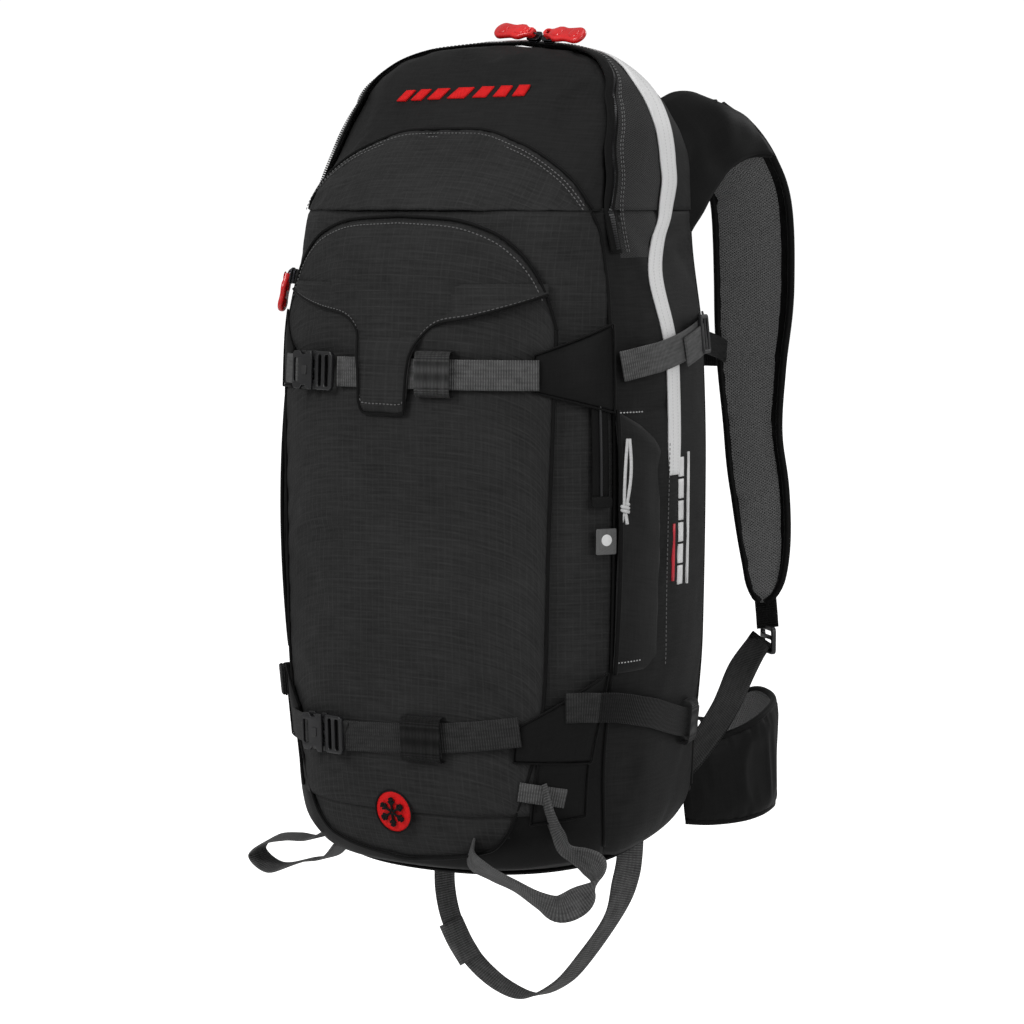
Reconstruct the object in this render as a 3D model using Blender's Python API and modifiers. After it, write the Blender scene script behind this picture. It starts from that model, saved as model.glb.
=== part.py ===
"""Avalanche airbag backpack, 35 litre class, as an assembly of separate pieces.

Axes: X to the wearer's right, Y towards the wearer, Z up.  The design is laid out with the
middle of the bag's lower back edge at (0, 0, 0) and then moved so that the origin is the point
where the haul loop hangs on its peg.  Lengths are metres.
"""
import math

import bmesh
import bpy
from mathutils import Matrix, Vector

# ------------------------------------------------------------------ driving dimensions
TOP = 0.566                 # height of the bag's crown above its base
HALF_WIDTH = [(0, 0.110), (0.010, 0.121), (0.035, 0.129), (0.08, 0.132), (0.16, 0.140),
              (0.28, 0.142), (0.36, 0.139), (0.43, 0.128), (0.50, 0.123), (0.53, 0.112),
              (0.549, 0.092), (0.561, 0.060), (TOP, 0.004)]
FRONT_Y = [(0, -0.158), (0.012, -0.178), (0.05, -0.194), (0.10, -0.199), (0.19, -0.2005),
           (0.32, -0.2005), (0.40, -0.197), (0.448, -0.187), (0.475, -0.163), (0.503, -0.139),
           (0.53, -0.120), (0.549, -0.107), (0.561, -0.092), (TOP, -0.068)]
BACK_Y = [(0, 0.0), (0.49, 0.0), (0.52, -0.007), (0.540, -0.024), (0.556, -0.042), (TOP, -0.060)]
BACK_TAPER = [(0, 0.15), (0.48, 0.15), (0.53, 0.30), (0.556, 0.5), (TOP, 0.6)]
# Main zip and burst zip, as shares of the bag's depth
ZIP_FRACTION = [(0.42, 0.36), (0.47, 0.29), (0.50, 0.24), (0.525, 0.24), (0.543, 0.31),
                (0.558, 0.43), (TOP, 0.5)]
BURST_FRACTION = [(0.27, 0.625), (0.35, 0.635), (0.37, 0.615), (0.408, 0.575), (0.432, 0.6125),
                  (0.450, 0.669), (0.468, 0.675), (0.486, 0.631), (0.508, 0.58), (0.532, 0.56),
                  (0.548, 0.62), (0.562, 0.85), (TOP, 0.9)]
BURST_HALF = 0.038          # half the burst zip's width, in the bag's own u
BASE_SLOPE = 0.16           # the base rises towards the wearer
SHOULDER = 0.6              # share of a section's run at its widest point
ROUNDNESS = 2.3             # superellipse power of the front corners
FOLD_Z = 0.452              # the top flap folds forward here
CLOTH = 0.0025              # thickness of a fabric panel with its lining
GAP = 0.0008                # air between neighbouring pieces
WEBBING = 0.020             # width of the straps
WEBBING_T = 0.0016          # thickness of the straps
HANG = Vector((0, 0.018, 0.560))            # inside top of the haul loop
ZIP_LOW = 0.42              # lower ends of the main zip
ZIP_R = 0.0018              # radius of the main zip's coil
ZIP_OUT = 0.0020            # its middle stands this far off the bag
ZIP_STEP = 0.0024           # and further off below the flap, where it lies on the side panels
CHANNEL_GAP = 0.0026        # air between the coil and the channel behind it
ZIP_SHIFT = 0.018           # and lies this far behind the flap's edge, in the bag's own u
SLIDER_T = 0.0040           # thickness of a slider
SLIDER_OUT = 0.0044         # its middle stands this far off the coil's middle
SLIDER_FACE = Vector((0, -0.7, 0.7))        # the way a main zip slider faces
SLIDER_LEFT_X = 0.027       # the two sliders meet to the right of the middle
SLIDER_RIGHT_X = 0.040
MAIN_PULL = 0.034           # length of a main zip pull
BACK_PAD_Y = 0.0084         # outer face of the contoured back padding
BACK_PAD_T = 0.0065         # its thickness
STRAP_T = 0.010             # thickness of the shoulder straps
WING_T = 0.012              # thickness of the hip belt wings

# Shoulder strap on the right, from its crest to its tip: place, and half width
STRAP = [((0.078, 0.050, 0.5215), 0.030), ((0.084, 0.072, 0.508), 0.032),
         ((0.090, 0.092, 0.484), 0.032), ((0.0925, 0.106, 0.455), 0.032),
         ((0.088, 0.118, 0.400), 0.031), ((0.084, 0.122, 0.345), 0.027),
         ((0.086, 0.122, 0.287), 0.023), ((0.0935, 0.120, 0.245), 0.023),
         ((0.0995, 0.117, 0.201), 0.020), ((0.1005, 0.113, 0.170), 0.012)]
YOKE = [((0.060, 0.0150, 0.483), 0.050), ((0.062, 0.0190, 0.503), 0.046),
        ((0.068, 0.0270, 0.517), 0.040), ((0.074, 0.0380, 0.522), 0.034)]
# Hip belt wing on the right: place on the belt's middle line, half height
WING = [((0.088, 0.0245, 0.048), 0.026), ((0.104, 0.0370, 0.050), 0.030),
        ((0.1165, 0.0620, 0.054), 0.033), ((0.1180, 0.0880, 0.059), 0.036),
        ((0.1070, 0.1165, 0.063), 0.037), ((0.0820, 0.1375, 0.067), 0.035),
        ((0.0500, 0.1470, 0.066), 0.024)]
# Webbing from the pack's lower corner up to the ladder lock, on the right
LOWER_WEB = [(0.1010, -0.0020, 0.014), (0.1120, 0.0040, 0.040), (0.1180, 0.0150, 0.066),
             (0.1170, 0.0340, 0.089), (0.1130, 0.0530, 0.103), (0.1080, 0.0760, 0.119),
             (0.1055, 0.0950, 0.130)]
# Ice tool loops at the front corners of the base: place, and the way the width runs
TOOL_LOOP_RIGHT = [((0.1111, -0.1660, 0.0444), (0.8, 0.6, 0)),
                   ((0.1189, -0.1670, 0.0333), (0.6, 0.8, 0.1)),
                   ((0.1326, -0.1650, 0.0272), (0.3, 0.9, 0.3)),
                   ((0.1448, -0.1680, 0.0230), (0.1, 0.8, 0.6)),
                   ((0.1486, -0.1760, 0.0154), (0, 0.5, 0.9)),
                   ((0.1422, -0.1850, 0.0056), (0, 0.3, 1)),
                   ((0.1312, -0.1920, -0.0004), (0, 0.2, 1)),
                   ((0.1188, -0.1970, 0.0042), (0, 0.2, 1)),
                   ((0.1004, -0.1990, 0.0124), (0, 0.3, 1)),
                   ((0.0791, -0.1970, 0.0187), (0, 0.5, 0.8))]
TOOL_LOOP_LEFT = [((-0.1080, -0.1450, 0.015), (0, 1, 0)), ((-0.1300, -0.1420, 0.013), (0, 1, 0.1)),
                  ((-0.1530, -0.1380, 0.008), (0, 1, 0.2)),
                  ((-0.1670, -0.1360, -0.003), (0, 1, 0.2)),
                  ((-0.1500, -0.1360, -0.012), (0, 1, 0.2)),
                  ((-0.1200, -0.1390, -0.003), (0, 1, 0)), ((-0.0960, -0.1430, 0.003), (0, 1, 0))]
# Leg loop under the base
LEG_LOOP = [(-0.0286, -0.1000, 0.0050), (-0.0280, -0.1000, -0.0200), (-0.0220, -0.0990, -0.0430),
            (-0.0080, -0.0960, -0.0660), (0.0120, -0.0890, -0.0840), (0.0320, -0.0810, -0.0905),
            (0.0530, -0.0750, -0.0800), (0.0700, -0.0700, -0.0600), (0.0895, -0.0650, -0.0300),
            (0.0970, -0.0620, -0.0050), (0.0990, -0.0600, 0.0110)]
# Release cable inside the bag, from the inflation head up to where it leaves for the strap
CABLE = [(-0.0500, -0.0400, 0.4215), (-0.0480, -0.0360, 0.4400), (-0.0400, -0.0280, 0.4580),
         (-0.0300, -0.0200, 0.4680), (-0.0240, -0.0120, 0.4720)]

BLACK = (0.020, 0.020, 0.021, 1)
RIPSTOP = (0.036, 0.036, 0.037, 1)
WEB_GREY = (0.09, 0.09, 0.092, 1)
RED = (0.62, 0.02, 0.03, 1)
WHITE = (0.80, 0.81, 0.82, 1)
PLASTIC = (0.012, 0.012, 0.013, 1)
METAL = (0.62, 0.63, 0.65, 1)


# ------------------------------------------------------------------ scene and materials
def fresh_scene():
    for old in list(bpy.data.objects):
        bpy.data.objects.remove(old, do_unlink=True)
    pack = bpy.data.collections.new("avalanche_airbag_backpack")
    cutters = bpy.data.collections.new("cutters")
    bpy.context.scene.collection.children.link(pack)
    bpy.context.scene.collection.children.link(cutters)
    return pack, cutters


PACK, CUTTERS = fresh_scene()
FRAME = bpy.data.objects.new("design_frame", None)
FRAME.location = -HANG
PACK.objects.link(FRAME)


def material(name, colour, roughness=0.7, metallic=0.0):
    mat = bpy.data.materials.get(name) or bpy.data.materials.new(name)
    mat.use_nodes = True
    shader = mat.node_tree.nodes["Principled BSDF"]
    shader.inputs["Base Color"].default_value = colour
    shader.inputs["Roughness"].default_value = roughness
    shader.inputs["Metallic"].default_value = metallic
    return mat


def add(name, data, colour, roughness=0.7, metallic=0.0, parent=None, collection=None):
    obj = bpy.data.objects.new(name, data)
    (collection or PACK).objects.link(obj)
    obj.parent = parent or FRAME
    if collection is None:
        data.materials.clear()
        data.materials.append(material(name, colour, roughness, metallic))
    return obj


def empty(name, matrix):
    obj = bpy.data.objects.new(name, None)
    PACK.objects.link(obj)
    obj.parent = FRAME
    obj.matrix_local = matrix
    return obj


# ------------------------------------------------------------------ the bag's surface
def along(knots, x):
    """Smooth curve through the knots that never overshoots them."""
    n = len(knots)
    steps = [knots[i + 1][0] - knots[i][0] for i in range(n - 1)]
    slopes = [(knots[i + 1][1] - knots[i][1]) / steps[i] for i in range(n - 1)]
    tangents = [slopes[0]]
    for i in range(1, n - 1):
        if slopes[i - 1] * slopes[i] <= 0:
            tangents.append(0.0)
        else:
            w1, w2 = 2 * steps[i] + steps[i - 1], steps[i] + 2 * steps[i - 1]
            tangents.append((w1 + w2) / (w1 / slopes[i - 1] + w2 / slopes[i]))
    tangents.append(slopes[-1])
    x = min(max(x, knots[0][0]), knots[-1][0])
    i = max(j for j in range(n - 1) if knots[j][0] <= x)
    h, t = steps[i], (x - knots[i][0]) / steps[i]
    a, b = knots[i][1], knots[i + 1][1]
    return ((1 + 2 * t) * (1 - t) ** 2 * a + t * (1 - t) ** 2 * h * tangents[i]
            + t * t * (3 - 2 * t) * b + t * t * (t - 1) * h * tangents[i + 1])


def skin(u, z):
    """Point of the bag's outside: u is 0 at the front's middle, 1 at the right back corner."""
    front, back = along(FRONT_Y, z), along(BACK_Y, z)
    middle = 0.5 * (front + back)
    a = abs(u)
    if a < SHOULDER:
        turn = a / SHOULDER * math.pi / 2
        x = along(HALF_WIDTH, z) * math.sin(turn) ** (2 / ROUNDNESS)
        y = middle - (middle - front) * math.cos(turn) ** (2 / ROUNDNESS)
    else:
        k = (a - SHOULDER) / (1 - SHOULDER)
        x = along(HALF_WIDTH, z) * (1 - along(BACK_TAPER, z) * k * k)
        y = middle + (back - middle) * k
    low = max(0.0, 1 - z / 0.25)
    rise = BASE_SLOPE * max(0.0, y + 0.19) * low * low
    return Vector((math.copysign(x, u), y, z + rise))


def outward(u, z):
    """Unit normal of the bag's outside."""
    du, dz = 0.004, 0.0015
    a = skin(min(u + du, 1), z) - skin(max(u - du, -1), z)
    b = skin(u, min(z + dz, TOP)) - skin(u, max(z - dz, 0.0))
    n = a.cross(b)
    return n.normalized() if n.length > 1e-12 else Vector((0, 0, 1))


def off_skin(u, z, out):
    return skin(u, z) + outward(u, z) * out


def u_at_depth(fraction, z):
    """The u where the section at height z has the given share of its depth."""
    front, back = along(FRONT_Y, z), along(BACK_Y, z)
    middle = 0.5 * (front + back)
    y = front + fraction * (back - front)
    if y < middle:
        share = (middle - y) / (middle - front)
        return SHOULDER * math.acos(min(1.0, share ** (ROUNDNESS / 2))) / (math.pi / 2)
    return SHOULDER + (1 - SHOULDER) * (y - middle) / max(back - middle, 1e-9)


# ------------------------------------------------------------------ makers of pieces
def grid_mesh(name, rows, cols, place):
    """Open grid of rows by cols points, placed by place(i, j) with i and j from 0 to 1."""
    bm = bmesh.new()
    bmesh.ops.create_grid(bm, x_segments=cols - 1, y_segments=rows - 1, size=0.5)
    for v in bm.verts:
        v.co = place(round((v.co.y + 0.5) * (rows - 1)) / (rows - 1),
                     round((v.co.x + 0.5) * (cols - 1)) / (cols - 1))
    mesh = bpy.data.meshes.new(name)
    bm.to_mesh(mesh)
    bm.free()
    mesh.shade_smooth()
    return mesh


def sheet(name, rows, cols, place, thickness, colour, roughness=0.75, parent=None):
    """A panel: an open grid given its thickness inwards from the side its faces look to."""
    obj = add(name, grid_mesh(name, rows, cols, place), colour, roughness, parent=parent)
    solid = obj.modifiers.new("thickness", "SOLIDIFY")
    solid.thickness = thickness
    solid.offset = -1
    return obj


def panel(name, u0, u1, z0, z1, out, thickness, colour, rows=14, cols=12, roughness=0.75):
    """Panel of the bag between two edges; u0, u1 are numbers or functions of z."""
    def edge(e, z):
        return e(z) if callable(e) else e

    def place(i, j):
        z = z0 + (z1 - z0) * i
        u = edge(u0, z) + (edge(u1, z) - edge(u0, z)) * j
        return off_skin(u, z, out)
    return sheet(name, rows, cols, place, thickness, colour, roughness)


def spline_points(points, count):
    """Evenly numbered points on a smooth curve through the given ones."""
    pts = [Vector(p) for p in points]
    ext = [2 * pts[0] - pts[1]] + pts + [2 * pts[-1] - pts[-2]]
    out = []
    for k in range(count):
        s = k / (count - 1) * (len(pts) - 1)
        i = min(int(s), len(pts) - 2)
        t = s - i
        p0, p1, p2, p3 = ext[i], ext[i + 1], ext[i + 2], ext[i + 3]
        out.append(0.5 * (2 * p1 + (p2 - p0) * t + (2 * p0 - 5 * p1 + 4 * p2 - p3) * t * t
                          + (3 * p1 - p0 - 3 * p2 + p3) * t ** 3))
    return out


def ribbon(name, points, halves, sides, thickness, colour, count=16, roughness=0.7, across=2,
           parent=None):
    """Flat strap through points; halves are its half widths, sides the way its width runs."""
    pts = spline_points(points, count)
    wide = spline_points([(h, 0, 0) for h in halves], count)
    side = spline_points(sides, count)

    def place(i, j):
        k = round(i * (count - 1))
        ahead = pts[min(k + 1, count - 1)] - pts[max(k - 1, 0)]
        way = side[k] - ahead * (side[k].dot(ahead) / ahead.length_squared)
        return pts[k] + way.normalized() * wide[k].x * (2 * j - 1)
    return sheet(name, count, across, place, thickness, colour, roughness, parent)


def tube(name, points, radius, colour, parent=None, roughness=0.5, metallic=0.0, cyclic=False):
    curve = bpy.data.curves.new(name, "CURVE")
    curve.dimensions = "3D"
    curve.bevel_depth = radius
    curve.bevel_resolution = 2
    curve.use_fill_caps = not cyclic
    spline = curve.splines.new("POLY")
    spline.points.add(len(points) - 1)
    for point, co in zip(spline.points, points):
        point.co = (*co, 1)
    spline.use_cyclic_u = cyclic
    return add(name, curve, colour, roughness, metallic, parent)


def block(name, size, place=(0, 0, 0), colour=PLASTIC, parent=None, bevel=0.0008, turn=(0, 0, 0),
          roughness=0.4, metallic=0.0, collection=None):
    """Box with rounded edges."""
    bm = bmesh.new()
    bmesh.ops.create_cube(bm, size=1)
    bmesh.ops.scale(bm, vec=size, verts=bm.verts)
    mesh = bpy.data.meshes.new(name)
    bm.to_mesh(mesh)
    bm.free()
    obj = add(name, mesh, colour, roughness, metallic, parent, collection)
    obj.location = place
    obj.rotation_euler = turn
    if bevel:
        edge = obj.modifiers.new("round", "BEVEL")
        edge.width = bevel
        edge.segments = 2
        edge.limit_method = "ANGLE"
    return obj


def rod(name, radius, length, place, turn, colour, parent=None, roughness=0.4, metallic=0.0,
        collection=None, bevel=0.0):
    bm = bmesh.new()
    bmesh.ops.create_cone(bm, cap_ends=True, segments=24, radius1=radius, radius2=radius,
                          depth=length)
    mesh = bpy.data.meshes.new(name)
    bm.to_mesh(mesh)
    bm.free()
    obj = add(name, mesh, colour, roughness, metallic, parent, collection)
    obj.location = place
    obj.rotation_euler = turn
    if bevel:
        edge = obj.modifiers.new("round", "BEVEL")
        edge.width = bevel
        edge.segments = 3
        edge.limit_method = "ANGLE"
    return obj


def outline(name, points, thickness, colour, parent=None, roughness=0.4, place=(0, 0, 0)):
    """Flat plate with the given outline in its own XY plane."""
    curve = bpy.data.curves.new(name, "CURVE")
    curve.dimensions = "2D"
    curve.fill_mode = "BOTH"
    curve.extrude = thickness / 2
    spline = curve.splines.new("POLY")
    spline.points.add(len(points) - 1)
    for point, (x, y) in zip(spline.points, points):
        point.co = (x, y, 0, 1)
    spline.use_cyclic_u = True
    obj = add(name, curve, colour, roughness, parent=parent)
    obj.location = place
    return obj


def cut(obj, cutter):
    cutter.hide_render = True
    cutter.display_type = "WIRE"
    change = obj.modifiers.new("cut_" + cutter.name, "BOOLEAN")
    change.operation = "DIFFERENCE"
    change.object = cutter


def surface_frame(u, z, out):
    """Matrix with X along the bag to the wearer's right, Y up and Z away from the bag."""
    n = outward(u, z)
    right = (skin(u + 0.01, z) - skin(u - 0.01, z)).normalized()
    up = n.cross(right)
    m = Matrix((right, up, n)).transposed().to_4x4()
    m.translation = off_skin(u, z, out)
    return m


def mirrored(points):
    return [(-p[0], p[1], p[2]) for p in points]


# ------------------------------------------------------------------ bag body
def zip_u(z):
    return u_at_depth(along(ZIP_FRACTION, z), z)


def burst_u(z):
    return u_at_depth(along(BURST_FRACTION, z), z)


def arch_heights(count, low):
    """Heights from the crown down to low, closer together at the crown."""
    out = []
    for k in range(count):
        turn = math.pi / 2 * k / (count - 1)
        out.append(low + (TOP - 0.0012 - low) * math.cos(turn))
    return out


def zip_line(count, low, out, shift=0.0):
    """Points of the main zip from its left end over the crown to its right end."""
    right = []
    for z in arch_heights(count, low):
        step = ZIP_STEP * min(1.0, max(0.0, (FOLD_Z + 0.016 - z) / 0.012))
        right.append(off_skin(min(zip_u(z) + shift, 1), z, out + step))
    crown = Vector((0, right[0].y, TOP + out - 0.0004))
    left = [Vector((-p.x, p.y, p.z)) for p in right]
    return left[::-1] + [crown] + right


def bag_walls():
    front = 0.475
    panel("front_panel", -front, front, 0.012, FOLD_Z - GAP, -0.0078, CLOTH, BLACK, 16, 15)
    panel("front_pocket", -front, front, 0.016, FOLD_Z - GAP, -0.0030, CLOTH, RIPSTOP, 16, 15)
    for side, sign in (("left", -1), ("right", 1)):
        near, far = sorted((sign * (front + 0.012), sign))
        panel("side_panel_" + side, near, far, 0.008, FOLD_Z - GAP, 0.0, CLOTH, BLACK, 16, 9)
    base_panel()
    tool_pocket()


def base_panel():
    """The bag's floor, a dished sheet that follows the lowest section."""
    segments = 44
    bm = bmesh.new()
    bmesh.ops.create_circle(bm, cap_ends=True, cap_tris=True, segments=segments, radius=1)
    rim = sorted((v for v in bm.verts if len(v.link_faces) < 4),
                 key=lambda v: math.atan2(v.co.x, -v.co.y))
    for k, v in enumerate(rim):
        v.co = skin(-1 + 2 * k / (segments - 1), 0.0) * 0.985 + Vector((0, -0.0012, 0.0012))
    for v in bm.verts:
        if len(v.link_faces) >= 4:
            v.co = (0, -0.075, 0.0155)
    bmesh.ops.recalc_face_normals(bm, faces=bm.faces)
    if sum(f.normal.z for f in bm.faces) > 0:
        bmesh.ops.reverse_faces(bm, faces=bm.faces)
    mesh = bpy.data.meshes.new("base_panel")
    bm.to_mesh(mesh)
    bm.free()
    obj = add("base_panel", mesh, BLACK)
    solid = obj.modifiers.new("thickness", "SOLIDIFY")
    solid.thickness = CLOTH
    solid.offset = -1


def tool_pocket():
    """Outer pocket with an arched top, from the lower seam to just under the fold."""
    top, low, straight = 0.4475, 0.055, 0.375

    def half(z):
        if z < straight:
            return 0.345
        rise = (z - straight) / (top - straight)
        return 0.345 * math.sqrt(max(0.0, 1 - rise * rise)) + 0.012

    def place(i, j):
        z = low + (top - low) * math.sin(i * math.pi / 2)
        return off_skin(half(z) * (2 * j - 1), z, 0.0005)
    sheet("tool_pocket", 18, 13, place, CLOTH, RIPSTOP)


def airbag_housing():
    """Arched channel behind the main zip; the burst zip closes it and the airbag lies in it."""
    def strip(name, near, far, out, thickness, colour, low, count, cols):
        heights = arch_heights(count, low)
        line = [-z for z in heights[::-1]] + heights

        def place(i, j):
            k = min(round(i * (len(line) - 1)), len(line) - 1)
            z, sign = abs(line[k]), (-1 if line[k] < 0 else 1)
            u = near(z) + (far(z) - near(z)) * j
            return off_skin(sign * min(u, 1.0), z, out)
        return sheet(name, len(line), cols, place, thickness, colour)

    def behind_zip(z):
        u = zip_u(z)
        run = (skin(u + 0.02, z) - skin(u - 0.02, z)).length / 0.04
        return min(u + ZIP_SHIFT + (ZIP_R + CHANNEL_GAP) / run, 0.95)

    strip("airbag_channel", behind_zip, lambda z: 1.0, 0.0, CLOTH, BLACK,
          FOLD_Z + GAP, 15, 6)
    strip("burst_zip", lambda z: burst_u(z) - BURST_HALF, lambda z: burst_u(z) + BURST_HALF,
          0.0042, 0.0014, WHITE, 0.282, 22, 3)

    bag = []
    for z in arch_heights(13, 0.30):
        u = min(burst_u(z), 0.93)
        bag.append(off_skin(u, z, -0.0225))
    path = [Vector((-p.x, p.y, p.z)) for p in bag[::-1]] + bag[1:]
    tube("folded_airbag", path, 0.014, WHITE, roughness=0.6)


def lid():
    """Top flap: the fabric in front of the main zip, and the pocket panel sewn over it."""
    low = FOLD_Z + GAP
    heights = arch_heights(15, low)

    def rows(i):
        return heights[len(heights) - 1 - round(i * (len(heights) - 1))]

    def place(i, j):
        z = rows(i)
        return off_skin((zip_u(z) - 0.006) * (2 * j - 1), z, -0.0028)
    sheet("lid_panel", 15, 15, place, CLOTH, BLACK)

    def pocket(i, j):
        top = 0.5075
        z = low + (top - low) * math.sin(i * math.pi / 2)
        rise = (z - low) / (top - low)
        half = 0.42 * math.sqrt(max(0.0, 1 - rise * rise)) + 0.012
        return off_skin(half * (2 * j - 1), z, 0.0008)
    sheet("front_pocket_top", 9, 13, pocket, CLOTH, RIPSTOP)


def main_zip_track():
    tube("main_zip", zip_line(19, ZIP_LOW, ZIP_OUT, ZIP_SHIFT), ZIP_R, BLACK, roughness=0.6)


def back_system():
    """Contoured padding against the wearer, with its aluminium stay inside the bag."""
    def place(i, j):
        z = 0.050 + 0.425 * i
        half = along(HALF_WIDTH, z) * (1 - along(BACK_TAPER, z)) - 0.006
        x = half * (2 * j - 1)
        bump = 0.0022 * math.cos(5 * math.pi * j) + 0.0012 * math.cos(8 * math.pi * i)
        return Vector((-x, BACK_PAD_Y + bump, z))
    sheet("back_panel", 18, 13, place, BACK_PAD_T, BLACK)
    wall()
    stay = [(-0.085, -0.010, 0.060), (-0.086, -0.010, 0.30), (-0.078, -0.010, 0.44),
            (-0.045, -0.012, 0.484), (0, -0.013, 0.494), (0.045, -0.012, 0.484),
            (0.078, -0.010, 0.44), (0.086, -0.010, 0.30), (0.085, -0.010, 0.060)]
    tube("frame_stay", spline_points(stay, 33), 0.0025, METAL, metallic=1.0)
    haul_loop()


def wall():
    """Plain fabric wall of the bag behind the padding, up to the crown."""
    def place(i, j):
        z = 0.036 + (TOP - 0.020 - 0.036) * i
        half = along(HALF_WIDTH, z) * (1 - along(BACK_TAPER, z)) - 0.0100
        return Vector((-half * (2 * j - 1), along(BACK_Y, z) - 0.0032, z))
    sheet("back_wall", 18, 5, place, CLOTH, BLACK)


def haul_loop():
    """Short carrying loop behind the crown, which the pack hangs from."""
    loop = [(-0.022, 0.0145, 0.518), (-0.021, 0.0160, 0.536), (-0.015, 0.0175, 0.553),
            (0, 0.0180, 0.5608), (0.015, 0.0175, 0.553), (0.021, 0.0160, 0.536),
            (0.022, 0.0145, 0.518)]
    ribbon("haul_loop", loop, [0.008] * 7, [(0, 1, 0)] * 7, WEBBING_T, WEB_GREY, 17)


# ------------------------------------------------------------------ straps and clips
def strap_on_skin(name, z0, z1, u0, u1, out, colour, half=WEBBING / 2, cols=12):
    """Strap that lies on the bag from (u0, z0) to (u1, z1)."""
    def place(i, j):
        u, z = u0 + (u1 - u0) * j, z0 + (z1 - z0) * j
        return off_skin(u, z + half * (2 * i - 1), out)
    return sheet(name, 2, cols, place, WEBBING_T, colour)


CLIP_LENGTH = 0.020
OVER_CLIP = 0.0036          # webbing that threads a fork lies this far over it
HIP_OPEN = 0.0200           # the hip clip is stored undone, its fork this far out


def clip_pair(prefix, matrix, width=WEBBING, open_by=0.0):
    """Side release clip: the socket at -X, the fork that slides out of it at +X."""
    home = empty(prefix + "_clip_home", matrix)
    socket = block(prefix + "_clip_female", (CLIP_LENGTH, width + 0.006, 0.0066),
                   (-CLIP_LENGTH / 2, 0, 0), parent=home)
    inside = block(prefix + "_clip_mouth", (CLIP_LENGTH, width + 0.001, 0.0034),
                   (-CLIP_LENGTH / 2 + 0.0030, 0, 0), parent=home, bevel=0, collection=CUTTERS)
    cut(socket, inside)
    w, reach = width / 2, CLIP_LENGTH - 0.004
    arm = 0.0030
    fork = [(-reach, w - 0.0004), (0.0012, w - 0.0004), (0.0012, w + 0.003), (0.0190, w + 0.003),
            (0.0190, -w - 0.003), (0.0012, -w - 0.003), (0.0012, -w + 0.0004),
            (-reach, -w + 0.0004), (-reach, -w + 0.0004 + arm), (-0.001, -w + 0.0004 + arm),
            (-0.001, -arm / 2), (-reach, -arm / 2), (-reach, arm / 2), (-0.001, arm / 2),
            (-0.001, w - 0.0004 - arm), (-reach, w - 0.0004 - arm)]
    outline(prefix + "_clip_male", fork, 0.0026, PLASTIC, parent=home, place=(open_by, 0, 0))


def front_straps():
    upper_z, lower_z, out = 0.345, 0.101, 0.0060
    clip_pair("upper", surface_frame(-0.146, upper_z, 0.0082))
    strap_on_skin("upper_strap", upper_z, upper_z, -0.076, 0.480, out, WEB_GREY, cols=16)
    clip_pair("lower", surface_frame(-0.132, lower_z, 0.0082))
    strap_on_skin("lower_strap", lower_z, lower_z, -0.076, 0.440, out, BLACK, cols=16)
    for side, sign in (("left", -1), ("right", 1)):
        strap_on_skin("upper_side_strap_" + side, upper_z + 0.006, upper_z + 0.026,
                      sign * 0.515, sign * 0.930, out + 0.0016, WEB_GREY, cols=8)
        strap_on_skin("lower_side_strap_" + side, lower_z + 0.022, lower_z - 0.004,
                      sign * 0.520, sign * 0.930, out, BLACK, cols=8)


def side_pockets():
    """Stretch pockets low on both sides, open along their front edge."""
    for side, sign in (("left", -1), ("right", 1)):
        def place(i, j):
            u = 0.482 + 0.170 * j
            z = 0.148 + (0.150 + 0.024 * (1 - j)) * i
            return off_skin(sign * u, z, 0.0034 - 0.0008 * (1 - abs(2 * j - 1)))
        sheet("side_pocket_" + side, 10, 8, place, 0.0022, BLACK)


def pocket_cord():
    """Thin cord with both strands hanging from the side pocket's zip."""
    top = off_skin(0.503, 0.303, 0.0072)
    low = off_skin(0.492, 0.258, 0.0076)
    points = [top.lerp(low, k / 11) + Vector((0.0016, -0.001, 0)) * math.sin(math.pi * k / 11)
              for k in range(12)]
    tube("pocket_cord", points, 0.0018, WHITE, roughness=0.8)


def loops():
    for side, route in (("left", TOOL_LOOP_LEFT), ("right", TOOL_LOOP_RIGHT)):
        ribbon("tool_loop_" + side, [p for p, way in route], [WEBBING / 2] * len(route),
               [way for p, way in route], WEBBING_T, WEB_GREY, 20)
    ribbon("leg_loop", LEG_LOOP, [WEBBING / 2] * 11, [(0.25, 1, 0)] * 11, WEBBING_T, WEB_GREY, 34)


# ------------------------------------------------------------------ zip sliders
def slider(prefix, matrix, pull_length):
    """Slider body and its pull, both in the frame of the zip at that point."""
    home = empty(prefix + "_home", matrix)
    block(prefix + "_slider", (0.0110, 0.0085, SLIDER_T), parent=home, roughness=0.3)
    hinge = empty(prefix + "_pull_axis", matrix @ Matrix.Translation((0, 0, SLIDER_T / 2 + 0.0022)))
    w, r = pull_length, 0.0062
    shape = [(0.0, -0.0034), (0.008, -0.0040)]
    for k in range(9):
        turn = -math.pi / 2 + math.pi * k / 8
        shape.append((w - r + r * math.cos(turn), r * math.sin(turn)))
    shape += [(0.008, 0.0040), (0.0, 0.0034)]
    outline(prefix + "_pull", shape, 0.0030, RED, parent=hinge, roughness=0.25)


def zip_frame(x, way, out):
    """Frame over the main zip where it passes x, its X axis along the zip to the side of way."""
    line = zip_line(240, ZIP_LOW, ZIP_OUT, ZIP_SHIFT)
    at = min(range(1, len(line) - 1), key=lambda k: abs(line[k].x - x))
    along_zip = (line[at + 1] - line[at - 1]).normalized() * way
    n = (SLIDER_FACE - along_zip * SLIDER_FACE.dot(along_zip)).normalized()
    m = Matrix((along_zip, n.cross(along_zip), n)).transposed().to_4x4()
    m.translation = line[at] + n * out
    return m


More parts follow.
